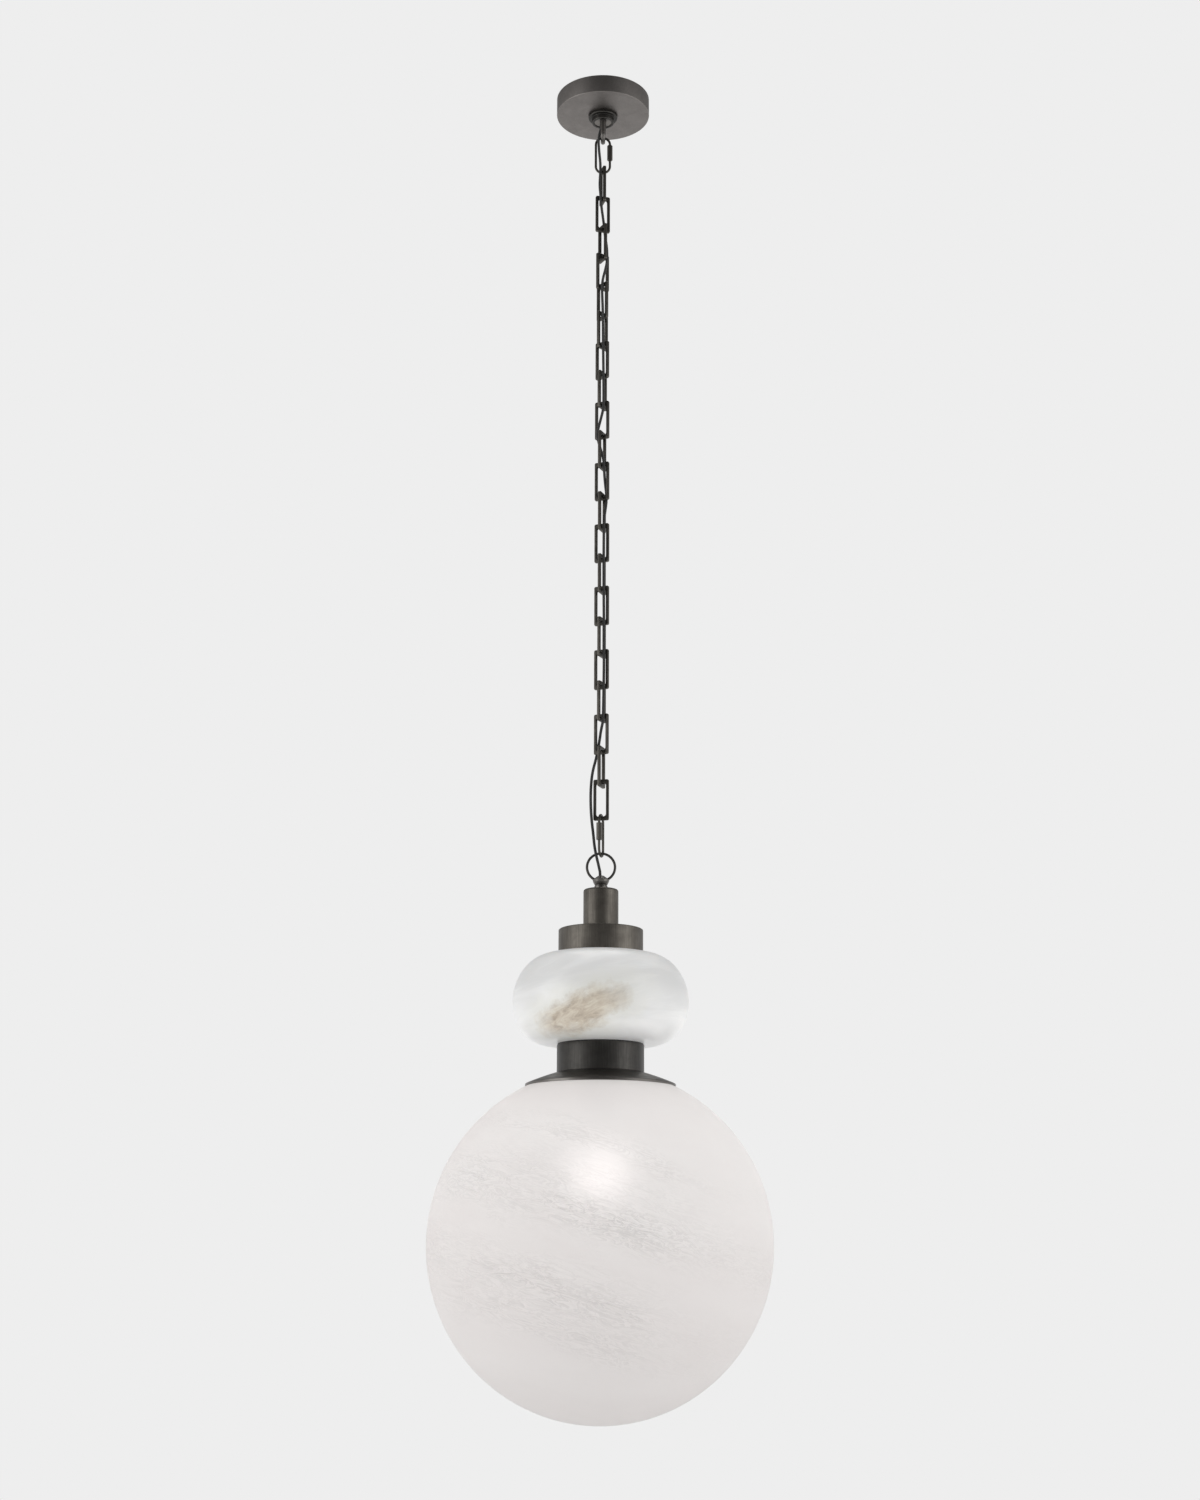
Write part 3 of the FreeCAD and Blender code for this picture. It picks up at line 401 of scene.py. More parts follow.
def build_alabaster():
    finish, tree, surface = new_finish("veined alabaster", 0.30)
    bands = noise(tree, place_nodes(tree, (0.5, 0.5, 2.2), (0, math.radians(-12), 0)), 16, 5, 0.6, 0.8)
    milk = ramp(tree, bands, "Fac", [(0.34, (0.77, 0.77, 0.765)), (0.60, (0.68, 0.68, 0.675))])
    colour = milk.outputs["Color"]
    fine = noise(tree, place_nodes(tree, (0.55, 0.55, 1.6), (0, math.radians(-22), 0)), 75, 8, 0.72, 0.6)
    earth = ramp(tree, fine, "Fac", [(0.32, (0.29, 0.225, 0.165)), (0.50, (0.50, 0.43, 0.345)),
                                     (0.68, (0.65, 0.605, 0.51))])
    for centre, length, height, slope, strength in VEIN_CLOUDS:
        mask = vein_mask(tree, centre, length, height, slope, strength)
        halo = vein_mask(tree, centre, length * 1.35, height * 1.6, slope, strength * 0.55)
        colour = blend_colours(tree, halo, "Color", colour, (0.70, 0.70, 0.615))
        core = ramp(tree, mask, "Color", [(0.14, grey(0.0)), (0.80, grey(0.90))])
        colour = blend_colours(tree, core, "Color", colour, earth.outputs["Color"])
    tree.links.new(colour, surface.inputs["Base Color"])
    surface.inputs["Subsurface Weight"].default_value = 0.45
    surface.inputs["Subsurface Radius"].default_value = (1.0, 0.9, 0.8)
    surface.inputs["Subsurface Scale"].default_value = 0.012
    surface.inputs["Coat Weight"].default_value = 0.15
    surface.inputs["Coat Roughness"].default_value = 0.2
    # Painted glow: emission on the stone, strongest at its bottom and fading upwards, stands in for light
    # from the globe below.
    height = tree.nodes.new("ShaderNodeSeparateXYZ")
    connect(tree, place_nodes(tree), "Vector", height, "Vector")
    glow = tree.nodes.new("ShaderNodeMapRange")
    glow.inputs["From Min"].default_value = STONE_LOW[2]
    glow.inputs["From Max"].default_value = STONE_LOW[2] + 0.6 * (STONE_HIGH[2] - STONE_LOW[2])
    glow.inputs["To Min"].default_value = PAINTED_STONE_GLOW
    glow.inputs["To Max"].default_value = 0.05
    connect(tree, height, "Z", glow, "Value")
    connect(tree, glow, "Result", surface, "Emission Strength")
    tree.links.new(colour, surface.inputs["Emission Color"])
    add_bump(tree, surface, bands.outputs["Fac"], 0.03, 0.001)
    return finish


alabaster = build_alabaster()
print("alabaster clouds:", len(VEIN_CLOUDS))

# %% [markdown]
# ### Globe glass
# The glass is cased white: mostly a milky body that scatters the light, with enough clear glass in it for
# the lamp to show as a soft glow, and a faint painted glow over it all. Fine wrinkles run round it in
# slanting bands. They are the contour lines of a stretched, tilted noise, which also drives the bump and a
# painted shade and highlight along each wrinkle. Bands across the tilt, frayed and broken up by broader
# noises, decide where the wrinkles come to the surface.

# %% Globe glass finish
SWIRL_TILT = (0, math.radians(17), 0)
# How strongly the wrinkles show at heights across the tilt, from the globe's centre.
SWIRL_BANDS = [
    (-0.130, 0.0), (-0.104, 0.55), (-0.090, 0.30), (-0.068, 0.80), (-0.040, 0.50), (-0.020, 0.0),
    (-0.006, 0.35), (0.012, 1.0), (0.030, 1.0), (0.050, 0.35), (0.080, 0.15), (0.096, 0.65), (0.116, 0.0),
]
SWIRL_REACH = 0.2
SWIRL_FRAY = 0.07
# Strength of the globe's painted glow, an even emission that stands in for lamp light scattered through the
# glass.
PAINTED_GLOBE_GLOW = 0.12


def swirl_mask(tree):
    """Where the wrinkles surface: bands across the tilt, frayed, and broken up round the globe."""
    tilted = place_nodes(tree, (1, 1, 1), SWIRL_TILT, (0, 0, GLOBE_CENTRE))
    height = tree.nodes.new("ShaderNodeSeparateXYZ")
    connect(tree, tilted, "Vector", height, "Vector")
    fray = noise(tree, place_nodes(tree, (0.35, 0.35, 1.0), SWIRL_TILT), 26, 4, 0.6, 0.6)
    frayed = tree.nodes.new("ShaderNodeMath")
    frayed.operation = "MULTIPLY_ADD"
    connect(tree, fray, "Fac", frayed, 0)
    frayed.inputs[1].default_value = SWIRL_FRAY
    connect(tree, height, "Z", frayed, 2)
    spread = tree.nodes.new("ShaderNodeMapRange")
    spread.inputs["From Min"].default_value = -SWIRL_REACH + SWIRL_FRAY / 2
    spread.inputs["From Max"].default_value = SWIRL_REACH + SWIRL_FRAY / 2
    connect(tree, frayed, "Value", spread, "Value")
    stops = [((place + SWIRL_REACH) / (2 * SWIRL_REACH), grey(amount)) for place, amount in SWIRL_BANDS]
    bands = ramp(tree, spread, "Result", stops)
    patches = noise(tree, place_nodes(tree, (0.6, 0.6, 1.0), SWIRL_TILT), 8, 3, 0.5, 0.4)
    broken = ramp(tree, patches, "Fac", [(0.34, grey(0.45)), (0.52, grey(1.0))])
    along = tree.nodes.new("ShaderNodeMapRange")
    along.inputs["From Min"].default_value = -SWIRL_REACH
    along.inputs["From Max"].default_value = SWIRL_REACH
    connect(tree, height, "X", along, "Value")
    ends = ramp(tree, along, "Result", [
        (0.0, grey(0.3)), (0.20, grey(1.0)), (0.62, grey(1.0)), (0.85, grey(0.25)),
    ])
    banded = blend_colours(tree, 1.0, None, bands.outputs["Color"], broken.outputs["Color"], "MULTIPLY")
    return blend_colours(tree, 1.0, None, banded, ends.outputs["Color"], "MULTIPLY")


def build_globe_glass():
    finish, tree, surface = new_finish("clouded white glass", 0.78)
    wrinkles = noise(tree, place_nodes(tree, (0.20, 0.20, 1.0), SWIRL_TILT), 135, 4, 0.58, 1.2)
    mask = swirl_mask(tree)
    height = tree.nodes.new("ShaderNodeMix")
    height.data_type = "FLOAT"
    tree.links.new(mask, height.inputs[0])
    height.inputs[2].default_value = 0.5
    tree.links.new(wrinkles.outputs["Fac"], height.inputs[3])
    milk = noise(tree, place_nodes(tree, (0.4, 0.4, 1.0), SWIRL_TILT), 7, 4, 0.55, 0.5)
    tint = ramp(tree, milk, "Fac", [(0.35, (0.745, 0.720, 0.710)), (0.65, (0.785, 0.770, 0.760))])
    # Painted shade and highlight: the colour darkens and brightens along the wrinkle contours, standing in
    # for light on their relief.
    painted_wrinkle_shade = ramp(tree, wrinkles, "Fac", [
        (0.37, grey(0.97)), (0.43, grey(0.74)), (0.465, grey(1.10)), (0.51, grey(0.98)),
        (0.555, grey(0.76)), (0.59, grey(1.10)), (0.64, grey(0.97)),
    ])
    wrinkle_painted_shading = blend_colours(tree, 1.0, None, tint.outputs["Color"], painted_wrinkle_shade.outputs["Color"], "MULTIPLY")
    masked = tree.nodes.new("ShaderNodeMix")
    masked.data_type = "RGBA"
    tree.links.new(mask, masked.inputs[0])
    connect(tree, tint, "Color", masked, 6)
    tree.links.new(wrinkle_painted_shading, masked.inputs[7])
    tree.links.new(masked.outputs[2], surface.inputs["Base Color"])
    surface.inputs["IOR"].default_value = 1.12
    surface.inputs["Transmission Weight"].default_value = 0.30
    surface.inputs["Coat Weight"].default_value = 0.08
    surface.inputs["Coat Roughness"].default_value = 0.3
    # Painted glow: a faint even emission over the whole globe stands in for the lamp's light scattered
    # through the cased glass.
    surface.inputs["Emission Color"].default_value = (1.0, 0.965, 0.955, 1)
    surface.inputs["Emission Strength"].default_value = PAINTED_GLOBE_GLOW
    add_bump(tree, surface, height.outputs[0], 1.0, 0.0045)
    return finish


globe_glass = build_globe_glass()
print("globe finish:", globe_glass.name)

# %% [markdown]
# ### Small finishes
# The hidden fittings are zinc-plated steel, black moulded plastic, rubber and brass. They show in other
# views and when the globe is taken off, so they have grain and wear too.

# %% Small finishes
def plated(name, colour, roughness, grain):
    finish, tree, surface = new_finish(name, roughness, 1.0)
    spangle = noise(tree, place_nodes(tree), grain, 4, 0.6)
    tone = ramp(tree, spangle, "Fac", [(0.35, tuple(c * 0.82 for c in colour)), (0.65, colour)])
    connect(tree, tone, "Color", surface, "Base Color")
    add_bump(tree, surface, spangle.outputs["Fac"], 0.08, 0.0002)
    return finish


def moulded(name, colour, roughness, grain, bump=0.15):
    finish, tree, surface = new_finish(name, roughness)
    pores = noise(tree, place_nodes(tree), grain, 5, 0.6)
    tone = ramp(tree, pores, "Fac", [(0.30, tuple(c * 0.8 for c in colour)), (0.70, colour)])
    connect(tree, tone, "Color", surface, "Base Color")
    add_bump(tree, surface, pores.outputs["Fac"], bump, 0.0002)
    return finish


zinc = plated("zinc plate", (0.60, 0.60, 0.58), 0.32, 260)
lamp_metal = plated("lamp shell", (0.72, 0.70, 0.66), 0.25, 400)
earth_paint = moulded("green screw paint", (0.05, 0.26, 0.09), 0.4, 500)
phenolic = moulded("black moulding", (0.022, 0.022, 0.022), 0.3, 600)
seal_rubber = moulded("black rubber", (0.020, 0.020, 0.020), 0.7, 900, 0.3)
connector_shell = moulded("connector moulding", (0.60, 0.22, 0.04), 0.35, 500)
lead_skin = moulded("lead insulation", (0.70, 0.68, 0.64), 0.45, 700)
print("small finishes: 7")

# %% [markdown]
# ### The lit lamp
# The lamp inside is lit. It is a frosted bulb that shines evenly, with a faint brightening towards its
# middle.

# %% Lamp glass finish
LAMP_GLOW = 4.7
LAMP_LOW, LAMP_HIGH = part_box("lamp_glass")
LAMP_BALL = LAMP_LOW[2] + LAMP_HIGH[0]


def build_lamp_glow():
    finish, tree, surface = new_finish("lit frosted lamp", 0.5)
    frost = noise(tree, place_nodes(tree), 300, 3)
    tone = ramp(tree, frost, "Fac", [(0.3, (0.90, 0.88, 0.84)), (0.7, (0.96, 0.94, 0.90))])
    connect(tree, tone, "Color", surface, "Base Color")
    from_ball = tree.nodes.new("ShaderNodeSeparateXYZ")
    connect(tree, place_nodes(tree, centre=(0, 0, LAMP_BALL)), "Vector", from_ball, "Vector")
    fade = tree.nodes.new("ShaderNodeMapRange")
    fade.inputs["From Min"].default_value = 0.004
    fade.inputs["From Max"].default_value = 0.034
    fade.inputs["To Min"].default_value = LAMP_GLOW
    fade.inputs["To Max"].default_value = 0.15
    connect(tree, from_ball, "Z", fade, "Value")
    connect(tree, fade, "Result", surface, "Emission Strength")
    surface.inputs["Emission Color"].default_value = (1.0, 0.925, 0.925, 1)
    return finish


lamp_glow = build_lamp_glow()
print("lamp glow", LAMP_GLOW)

# %% [markdown]
# ## Turned pieces
# The canopy, caps, collars, stone and globe are all turned: one outline spun round the axis. A real rim
# is never quite sharp, so each corner of an outline is rounded by a small arc before it is spun, which is
# what catches the light along the edge.

# %% Turning helpers
def rounded_outline(corners, radii, steps=6):
    """The outline as points, with each inner corner rounded by an arc of its own radius."""
    points = [corners[0]]
    for before, corner, after, radius in zip(corners, corners[1:], corners[2:], radii):
        here = Vector(corner)
        inward = (here - Vector(before)).normalized()
        outward = (Vector(after) - here).normalized()
        turn = inward.angle(outward)
        if radius <= 0 or turn < 0.02:
            points.append(corner)
            continue
        reach = radius * math.tan(turn / 2)
        start, end = here - inward * reach, here + outward * reach
        for step in range(steps + 1):
            t = step / steps
            point = start * (1 - t) ** 2 + here * 2 * t * (1 - t) + end * t ** 2
            points.append((point.x, point.y))
    points.append(corners[-1])
    return points


def turned(name, outline, finish, body, stands_for, sharp=35, segments=160):
    """Spins an outline of (radius, height) points round Z."""
    shape = bmesh.new()
    rings = []
    for radius, height in outline:
        if radius < 1e-6:
            rings.append([shape.verts.new((0, 0, height))] * segments)
            continue
        ring = []
        for index in range(segments):
            angle = math.tau * index / segments
            ring.append(shape.verts.new((radius * math.cos(angle), radius * math.sin(angle), height)))
        rings.append(ring)
    for upper, lower in zip(rings, rings[1:]):
        for index in range(segments):
            following = (index + 1) % segments
            corners = []
            for vertex in (upper[index], upper[following], lower[following], lower[index]):
                if vertex not in corners:
                    corners.append(vertex)
            if len(corners) > 2:
                shape.faces.new(corners)
    bmesh.ops.recalc_face_normals(shape, faces=shape.faces)
    mesh = bpy.data.meshes.new(name)
    shape.to_mesh(mesh)
    shape.free()
    return finish_piece(name, mesh, finish, body, stands_for, sharp)


def finish_piece(name, mesh, finish, body, stands_for, sharp=35):
    """Smooth shading with sharp corners kept, a finish, and the body and node that the piece belongs to."""
    mesh.shade_smooth()
    mesh.set_sharp_from_angle(angle=math.radians(sharp))
    mesh.materials.append(finish)
    piece = bpy.data.objects.new(name, mesh)
    scene.collection.objects.link(piece)
    if body:
        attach(piece, body)
    if stands_for:
        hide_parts(stands_for)
    return piece


def span(node):
    """A turned node's outer radius, top and bottom."""
    low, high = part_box(node)
    return high[0], high[2], low[2]


print("turning helpers ready")

# %% [markdown]
# ### Canopy and screw collar
# Both are drawn as closed outlines, so the sheet has its thickness and the canopy is open on top. Their
# holes clear the cast loop's stem, which passes through them.

# %% Canopy and its collar
SHEET = 0.0015
STEM_CLEAR = 0.0111


def build_canopy():
    radius, top, bottom = span("canopy")
    corners = [
        (radius - SHEET, top), (radius, top), (radius, bottom), (STEM_CLEAR, bottom),
        (STEM_CLEAR, bottom + SHEET), (radius - SHEET, bottom + SHEET), (radius - SHEET, top),
    ]
    outline = rounded_outline(corners, [0.0003, 0.0009, 0.0002, 0.0002, 0.0005])
    return turned("canopy_dish", outline, painted_lighter_canopy_bronze, "canopy", "canopy")


def build_screw_collar():
    radius, top, bottom = span("screw_collar")
    step = top - 0.0040
    hub = 0.0145
    corners = [
        (STEM_CLEAR, top), (radius, top), (radius, step), (hub, step), (hub, bottom), (STEM_CLEAR, bottom),
        (STEM_CLEAR, top),
    ]
    outline = rounded_outline(corners, [0.0004, 0.0012, 0.0006, 0.0010, 0.0003])
    return turned("stepped_collar", outline, painted_darker_collar_bronze, "canopy", "screw_collar")


canopy_dish = build_canopy()
stepped_collar = build_screw_collar()
print("canopy faces", len(canopy_dish.data.polygons))

# %% [markdown]
# ### Caps
# The stem cap, the disk cap and the neck collar are cups of thin sheet, open below, round the centre
# pipe.

# %% Caps above and below the stone
PIPE_CLEAR = 0.0051


def build_stem_cap():
    radius, top, bottom = span("stem_cap")
    corners = [(PIPE_CLEAR, top), (radius, top), (radius, bottom), (radius - SHEET, bottom),
               (radius - SHEET, top - 2 * SHEET), (PIPE_CLEAR, top - 2 * SHEET)]
    return turned("stem_cap_cup", rounded_outline(corners, [0.0030, 0.0003, 0.0003, 0.001]), sheet_bronze,
                  "pendant", "stem_cap")


def build_cup(name, node, finish, edge):
    radius, top, bottom = span(node)
    corners = [(PIPE_CLEAR, top), (radius, top), (radius, bottom), (radius - SHEET, bottom),
               (radius - SHEET, top - SHEET), (PIPE_CLEAR, top - SHEET)]
    return turned(name, rounded_outline(corners, [edge, 0.0004, 0.0003, 0.001]), finish, "pendant", node)


stem_cap_cup = build_stem_cap()
disk_cap_cup = build_cup("disk_cap_cup", "disk_cap", sheet_bronze, 0.0012)
neck_collar_cup = build_cup("neck_collar_cup", "neck_collar", painted_darker_collar_bronze, 0.0009)
print("caps:", stem_cap_cup.name, disk_cap_cup.name, neck_collar_cup.name)

# %% [markdown]
# ### Flared cap
# The skirt is straight on top with a slight swell, and its underside follows the globe at a small
# clearance.

# %% Flared cap
FLARE_RIM = 0.0030
FLARE_SWELL = 0.0006
GLASS_CLEAR = 0.0004


def build_flared_cap():
    radius, top, bottom = span("flared_cap")
    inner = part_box("neck_collar")[1][0]
    clear = GLOBE_RADIUS + GLASS_CLEAR
    outline = [(PIPE_CLEAR, top), (inner, top)]
    for step in range(1, 9):
        t = step / 9
        out = inner + (radius - inner) * t
        straight = top + (bottom + FLARE_RIM - top) * t
        outline.append((out, straight + FLARE_SWELL * math.sin(math.pi * t)))
    outline += rounded_outline([outline[-1], (radius, bottom + FLARE_RIM), (radius, bottom),
                                (radius - SHEET, bottom)], [0.0008, 0.0004])[1:]
    for step in range(12):
        out = (radius - SHEET) + (inner - radius + SHEET) * step / 12
        outline.append((out, GLOBE_CENTRE + math.sqrt(clear ** 2 - out ** 2)))
    outline += [(inner - SHEET, top - SHEET), (PIPE_CLEAR, top - SHEET)]
    return turned("flared_skirt", outline, turned_bronze, "pendant", "flared_cap", 30)


flared_skirt = build_flared_cap()
print("flare rim", round(span("flared_cap")[0], 4))

# %% [markdown]
# ### Stone and globe
# The stone's section is a bold round side that runs into a tighter arc above and below. The globe is a
# true sphere with a ground opening. Both are spun from arcs, with many steps, because their outlines show
# against the pale background.

# %% Stone and globe
STONE_SIDE = 0.063
STONE_UPPER = 0.041
STONE_LOWER = 0.0395
STONE_RISE = 0.056
STONE_BORE = 0.013
GLASS = 0.004


def arc(centre, radius, first, last, steps):
    """Points on an arc; angles in radians from straight out, upwards."""
    points = []
    for step in range(steps + 1):
        angle = first + (last - first) * step / steps
        points.append((centre[0] + radius * math.cos(angle), centre[1] + radius * math.sin(angle)))
    return points


def build_stone():
    radius, top, bottom = span("alabaster_ring")
    widest = top - STONE_RISE
    side = radius - STONE_SIDE
    upper_drop = (top - STONE_UPPER) - widest
    lower_drop = widest - (bottom + STONE_LOWER)
    upper_angle = math.asin(upper_drop / (STONE_SIDE - STONE_UPPER))
    lower_angle = math.asin(lower_drop / (STONE_SIDE - STONE_LOWER))
    upper_out = side + (STONE_SIDE - STONE_UPPER) * math.cos(upper_angle)
    lower_out = side + (STONE_SIDE - STONE_LOWER) * math.cos(lower_angle)
    outline = [(STONE_BORE, bottom), (STONE_BORE, top)]
    outline += arc((upper_out, top - STONE_UPPER), STONE_UPPER, math.pi / 2, upper_angle, 18)
    outline += arc((side, widest), STONE_SIDE, upper_angle, -lower_angle, 30)[1:]
    outline += arc((lower_out, bottom + STONE_LOWER), STONE_LOWER, -lower_angle, -math.pi / 2, 18)[1:]
    outline.append((STONE_BORE, bottom))
    return turned("alabaster_body", outline, alabaster, "pendant", "alabaster_ring", 50, 192)


def build_globe():
    neck = GLOBE_HIGH[2] - GLOBE_CENTRE
    outside = arc((0, GLOBE_CENTRE), GLOBE_RADIUS, math.asin(neck / GLOBE_RADIUS), -math.pi / 2, 96)
    inner = GLOBE_RADIUS - GLASS
    opening = math.sqrt(GLOBE_RADIUS ** 2 - neck ** 2)
    inside = arc((0, GLOBE_CENTRE), inner, -math.pi / 2, math.acos(opening / inner), 72)
    outside[-1] = (0.0, outside[-1][1])
    inside[0] = (0.0, inside[0][1])
    return turned("globe_shell", outside + inside + [outside[0]], globe_glass, "pendant", "globe", 50, 192)


alabaster_body = build_stone()
globe_shell = build_globe()
print("globe faces", len(globe_shell.data.polygons))

# %% [markdown]
# ### Lamp
# The bulb is a ball on a short tapering neck.

# %% Lamp inside
def build_lamp():
    radius, top, bottom = span("lamp_glass")
    neck = 0.0135
    ball = bottom + radius
    outline = [(neck, top), (neck * 1.04, top - 0.006), (neck * 1.22, top - 0.016)]
    outline += arc((0, ball), radius, math.radians(52), -math.pi / 2, 28)
    outline[-1] = (0.0, bottom)
    return turned("lamp_bulb", outline, lamp_glow, "pendant", "lamp_glass", 60, 96)


lamp_bulb = build_lamp()
print("lamp height", round(span("lamp_glass")[1] - span("lamp_glass")[2], 4))

# %% [markdown]
# ## Chain
# Each link is a flat bar bent into a rectangle, its window's corners drawn to an arch, and every edge
# softened. One link is made as a band of sections round the loop, then copied down the chain: each copy
# is turned on the axis to the listed angle of its CAD node, and set at the height the node's own box gives.

# %% Chain link
LINK_LENGTH, LINK_WIDTH, LINK_THICK = 0.0508, 0.0190, 0.0038
LINK_END, LINK_LEG = 0.00465, 0.0034
LINK_TWIST = [17, 17, 28, 38, 42, 51, 57, 61, 65, 66, 67, 68, 68, 68, 67, 66, 66, 65, 64, 70, 78]


def rectangle_loop(half_width, half_height, radius, per_corner=7):
    """Points round a rectangle with rounded corners, the same number whatever its size."""
    points = []
    for quarter, (way_x, way_z) in enumerate(((1, 1), (-1, 1), (-1, -1), (1, -1))):
        centre = (way_x * (half_width - radius), way_z * (half_height - radius))
        first = quarter * math.pi / 2
        points += arc(centre, radius, first, first + math.pi / 2, per_corner)
    return points


def bar_section(steps=3, corner=0.36):
    """A rounded rectangle from -1 to 1 each way, as (across, through) fractions."""
    points = []
    for quarter, (way_a, way_b) in enumerate(((1, 1), (-1, 1), (-1, -1), (1, -1))):
        centre = (way_a * (1 - corner), way_b * (1 - corner))
        points += arc(centre, corner, quarter * math.pi / 2, (quarter + 1) * math.pi / 2, steps)
    return points


def link_mesh(name, turn, middle):
    outer = rectangle_loop(LINK_WIDTH / 2, LINK_LENGTH / 2, 0.0019)
    inner = rectangle_loop(LINK_WIDTH / 2 - LINK_LEG, LINK_LENGTH / 2 - LINK_END, 0.0034)
    shape = bmesh.new()
    loops = []
    for (ox, oz), (ix, iz) in zip(outer, inner):
        loop = []
        for across, through in bar_section():
            x = (ox + ix) / 2 + (ox - ix) / 2 * across
            z = (oz + iz) / 2 + (oz - iz) / 2 * across
            loop.append(shape.verts.new((x, through * LINK_THICK / 2, z)))
        loops.append(loop)
    for index, loop in enumerate(loops):
        following = loops[(index + 1) % len(loops)]
        for side in range(len(loop)):
            other = (side + 1) % len(loop)
            shape.faces.new((loop[side], loop[other], following[other], following[side]))
    bmesh.ops.recalc_face_normals(shape, faces=shape.faces)
    place = Matrix.Translation((0, 0, middle)) @ Matrix.Rotation(math.radians(turn), 4, "Z")
    bmesh.ops.transform(shape, matrix=place, verts=shape.verts)
    mesh = bpy.data.meshes.new(name)
    shape.to_mesh(mesh)
    shape.free()
    return mesh


def build_chain():
    links = []
    for number, twist in enumerate(LINK_TWIST, start=1):
        node = f"chain_link_{number:02d}"
        low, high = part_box(node)
        turn = twist if number % 2 == 0 else twist - 90
        name = f"link_bar_{number:02d}"
        mesh = link_mesh(name, turn, (low[2] + high[2]) / 2)
        links.append(finish_piece(name, mesh, chain_bronze, f"link_{number:02d}", node, 45))
    return links


chain = build_chain()
print("links", len(chain))

# %% [markdown]
# ## Cord
# The cord is threaded down the chain by hand, so its route is a list of given points, the same as
# in the CAD source, and its line is a smooth spline through them. The tube follows that line. The chain
# can swing at every link, so the tube is made in stretches, one across each joint. The first stretch goes
# with the ceiling mount and the last with the pendant; those between are fixed where they are made.

# %% Cord route
CORD_DIAMETER = 0.0034
CORD_SIDES = 12
CORD_ROUTE = [
    (0, 0, 0.009), (0, 0, -0.031), (-0.0036, -0.0022, -0.046), (-0.006, -0.0048, -0.06),
    (-0.005, -0.0048, -0.078), (-0.0034, -0.0045, -0.092), (-0.0031, -0.0044, -0.106),
    (-0.0043, -0.0012, -0.125), (-0.0029, -0.0055, -0.141), (-0.0026, -0.0057, -0.152),
    (0.002, 0.0056, -0.181), (0.0026, 0.0056, -0.192), (0.0049, 0.0024, -0.207),
    (0.006, -0.0005, -0.221), (0.0058, -0.002, -0.236), (0.003, -0.0047, -0.25), (0, -0.0064, -0.263),
    (-0.0008, -0.0065, -0.276), (0.0007, -0.0072, -0.311), (0.0009, -0.006, -0.352),
    (0.0015, -0.0062, -0.393), (0.0018, -0.0062, -0.427), (0.0015, -0.0063, -0.442),
    (-0.0022, -0.0046, -0.457), (-0.0059, -0.0023, -0.471), (-0.0056, -0.0021, -0.482),
    (-0.0013, -0.0035, -0.497), (0.0022, -0.0057, -0.512), (0.0025, -0.0057, -0.522),
    (0.0035, -0.0014, -0.5375), (0.0055, 0.0024, -0.553), (0.0058, 0.0022, -0.563),
    (0.0042, -0.0027, -0.578), (0.0025, -0.0059, -0.591), (0.0024, -0.006, -0.612),
    (0.0023, -0.0059, -0.641), (0.0024, -0.006, -0.682), (0.0028, -0.006, -0.723),
    (0.003, -0.0062, -0.764), (0.0028, -0.0061, -0.803), (0.0022, -0.006, -0.842),
    (0.0019, -0.0058, -0.8525), (-0.0006, -0.0006, -0.863), (-0.002, 0.004, -0.8725),
    (-0.0038, 0.0074, -0.883), (-0.0066, 0.0084, -0.897), (-0.011, 0.0068, -0.914),
    (-0.0128, 0.0032, -0.935), (-0.0127, -0.0006, -0.958), (-0.0114, -0.0038, -0.977),
    (-0.0094, -0.0053, -0.993), (-0.008, -0.0052, -1.008), (-0.0056, -0.0042, -1.02),
    (-0.0026, -0.0022, -1.032), (0, 0, -1.044), (0, 0, -1.29),
]


def smooth_line(points, name):
    """The points of a NURBS line through a route, in order."""
    curve = bpy.data.curves.new(name, "CURVE")
    curve.dimensions = "3D"
    spline = curve.splines.new("NURBS")
    spline.points.add(len(points) - 1)
    for point, place in zip(spline.points, points):
        point.co = (*place, 1)
    spline.order_u = 3
    spline.resolution_u = 10
    spline.use_endpoint_u = True
    holder = bpy.data.objects.new(name, curve)
    scene.collection.objects.link(holder)
    mesh = bpy.data.meshes.new_from_object(holder)
    line = [vertex.co.copy() for vertex in mesh.vertices]
    bpy.data.objects.remove(holder)
    bpy.data.curves.remove(curve)
    bpy.data.meshes.remove(mesh)
    return line


cord_line = smooth_line(CORD_ROUTE, "cord_line")
cord_length = sum((after - before).length for before, after in zip(cord_line, cord_line[1:]))
print("cord points", len(cord_line), "length", round(cord_length, 4))

# %% [markdown]
# ### Woven cord cover
# A textile cord is a braid of two sets of yarns that cross. The tube's UVs run round it and along it, so
# two slanting waves in UV space are the two sets of yarns. Where both are high the yarn stands up, and
# the colour there is a little paler from rubbing.

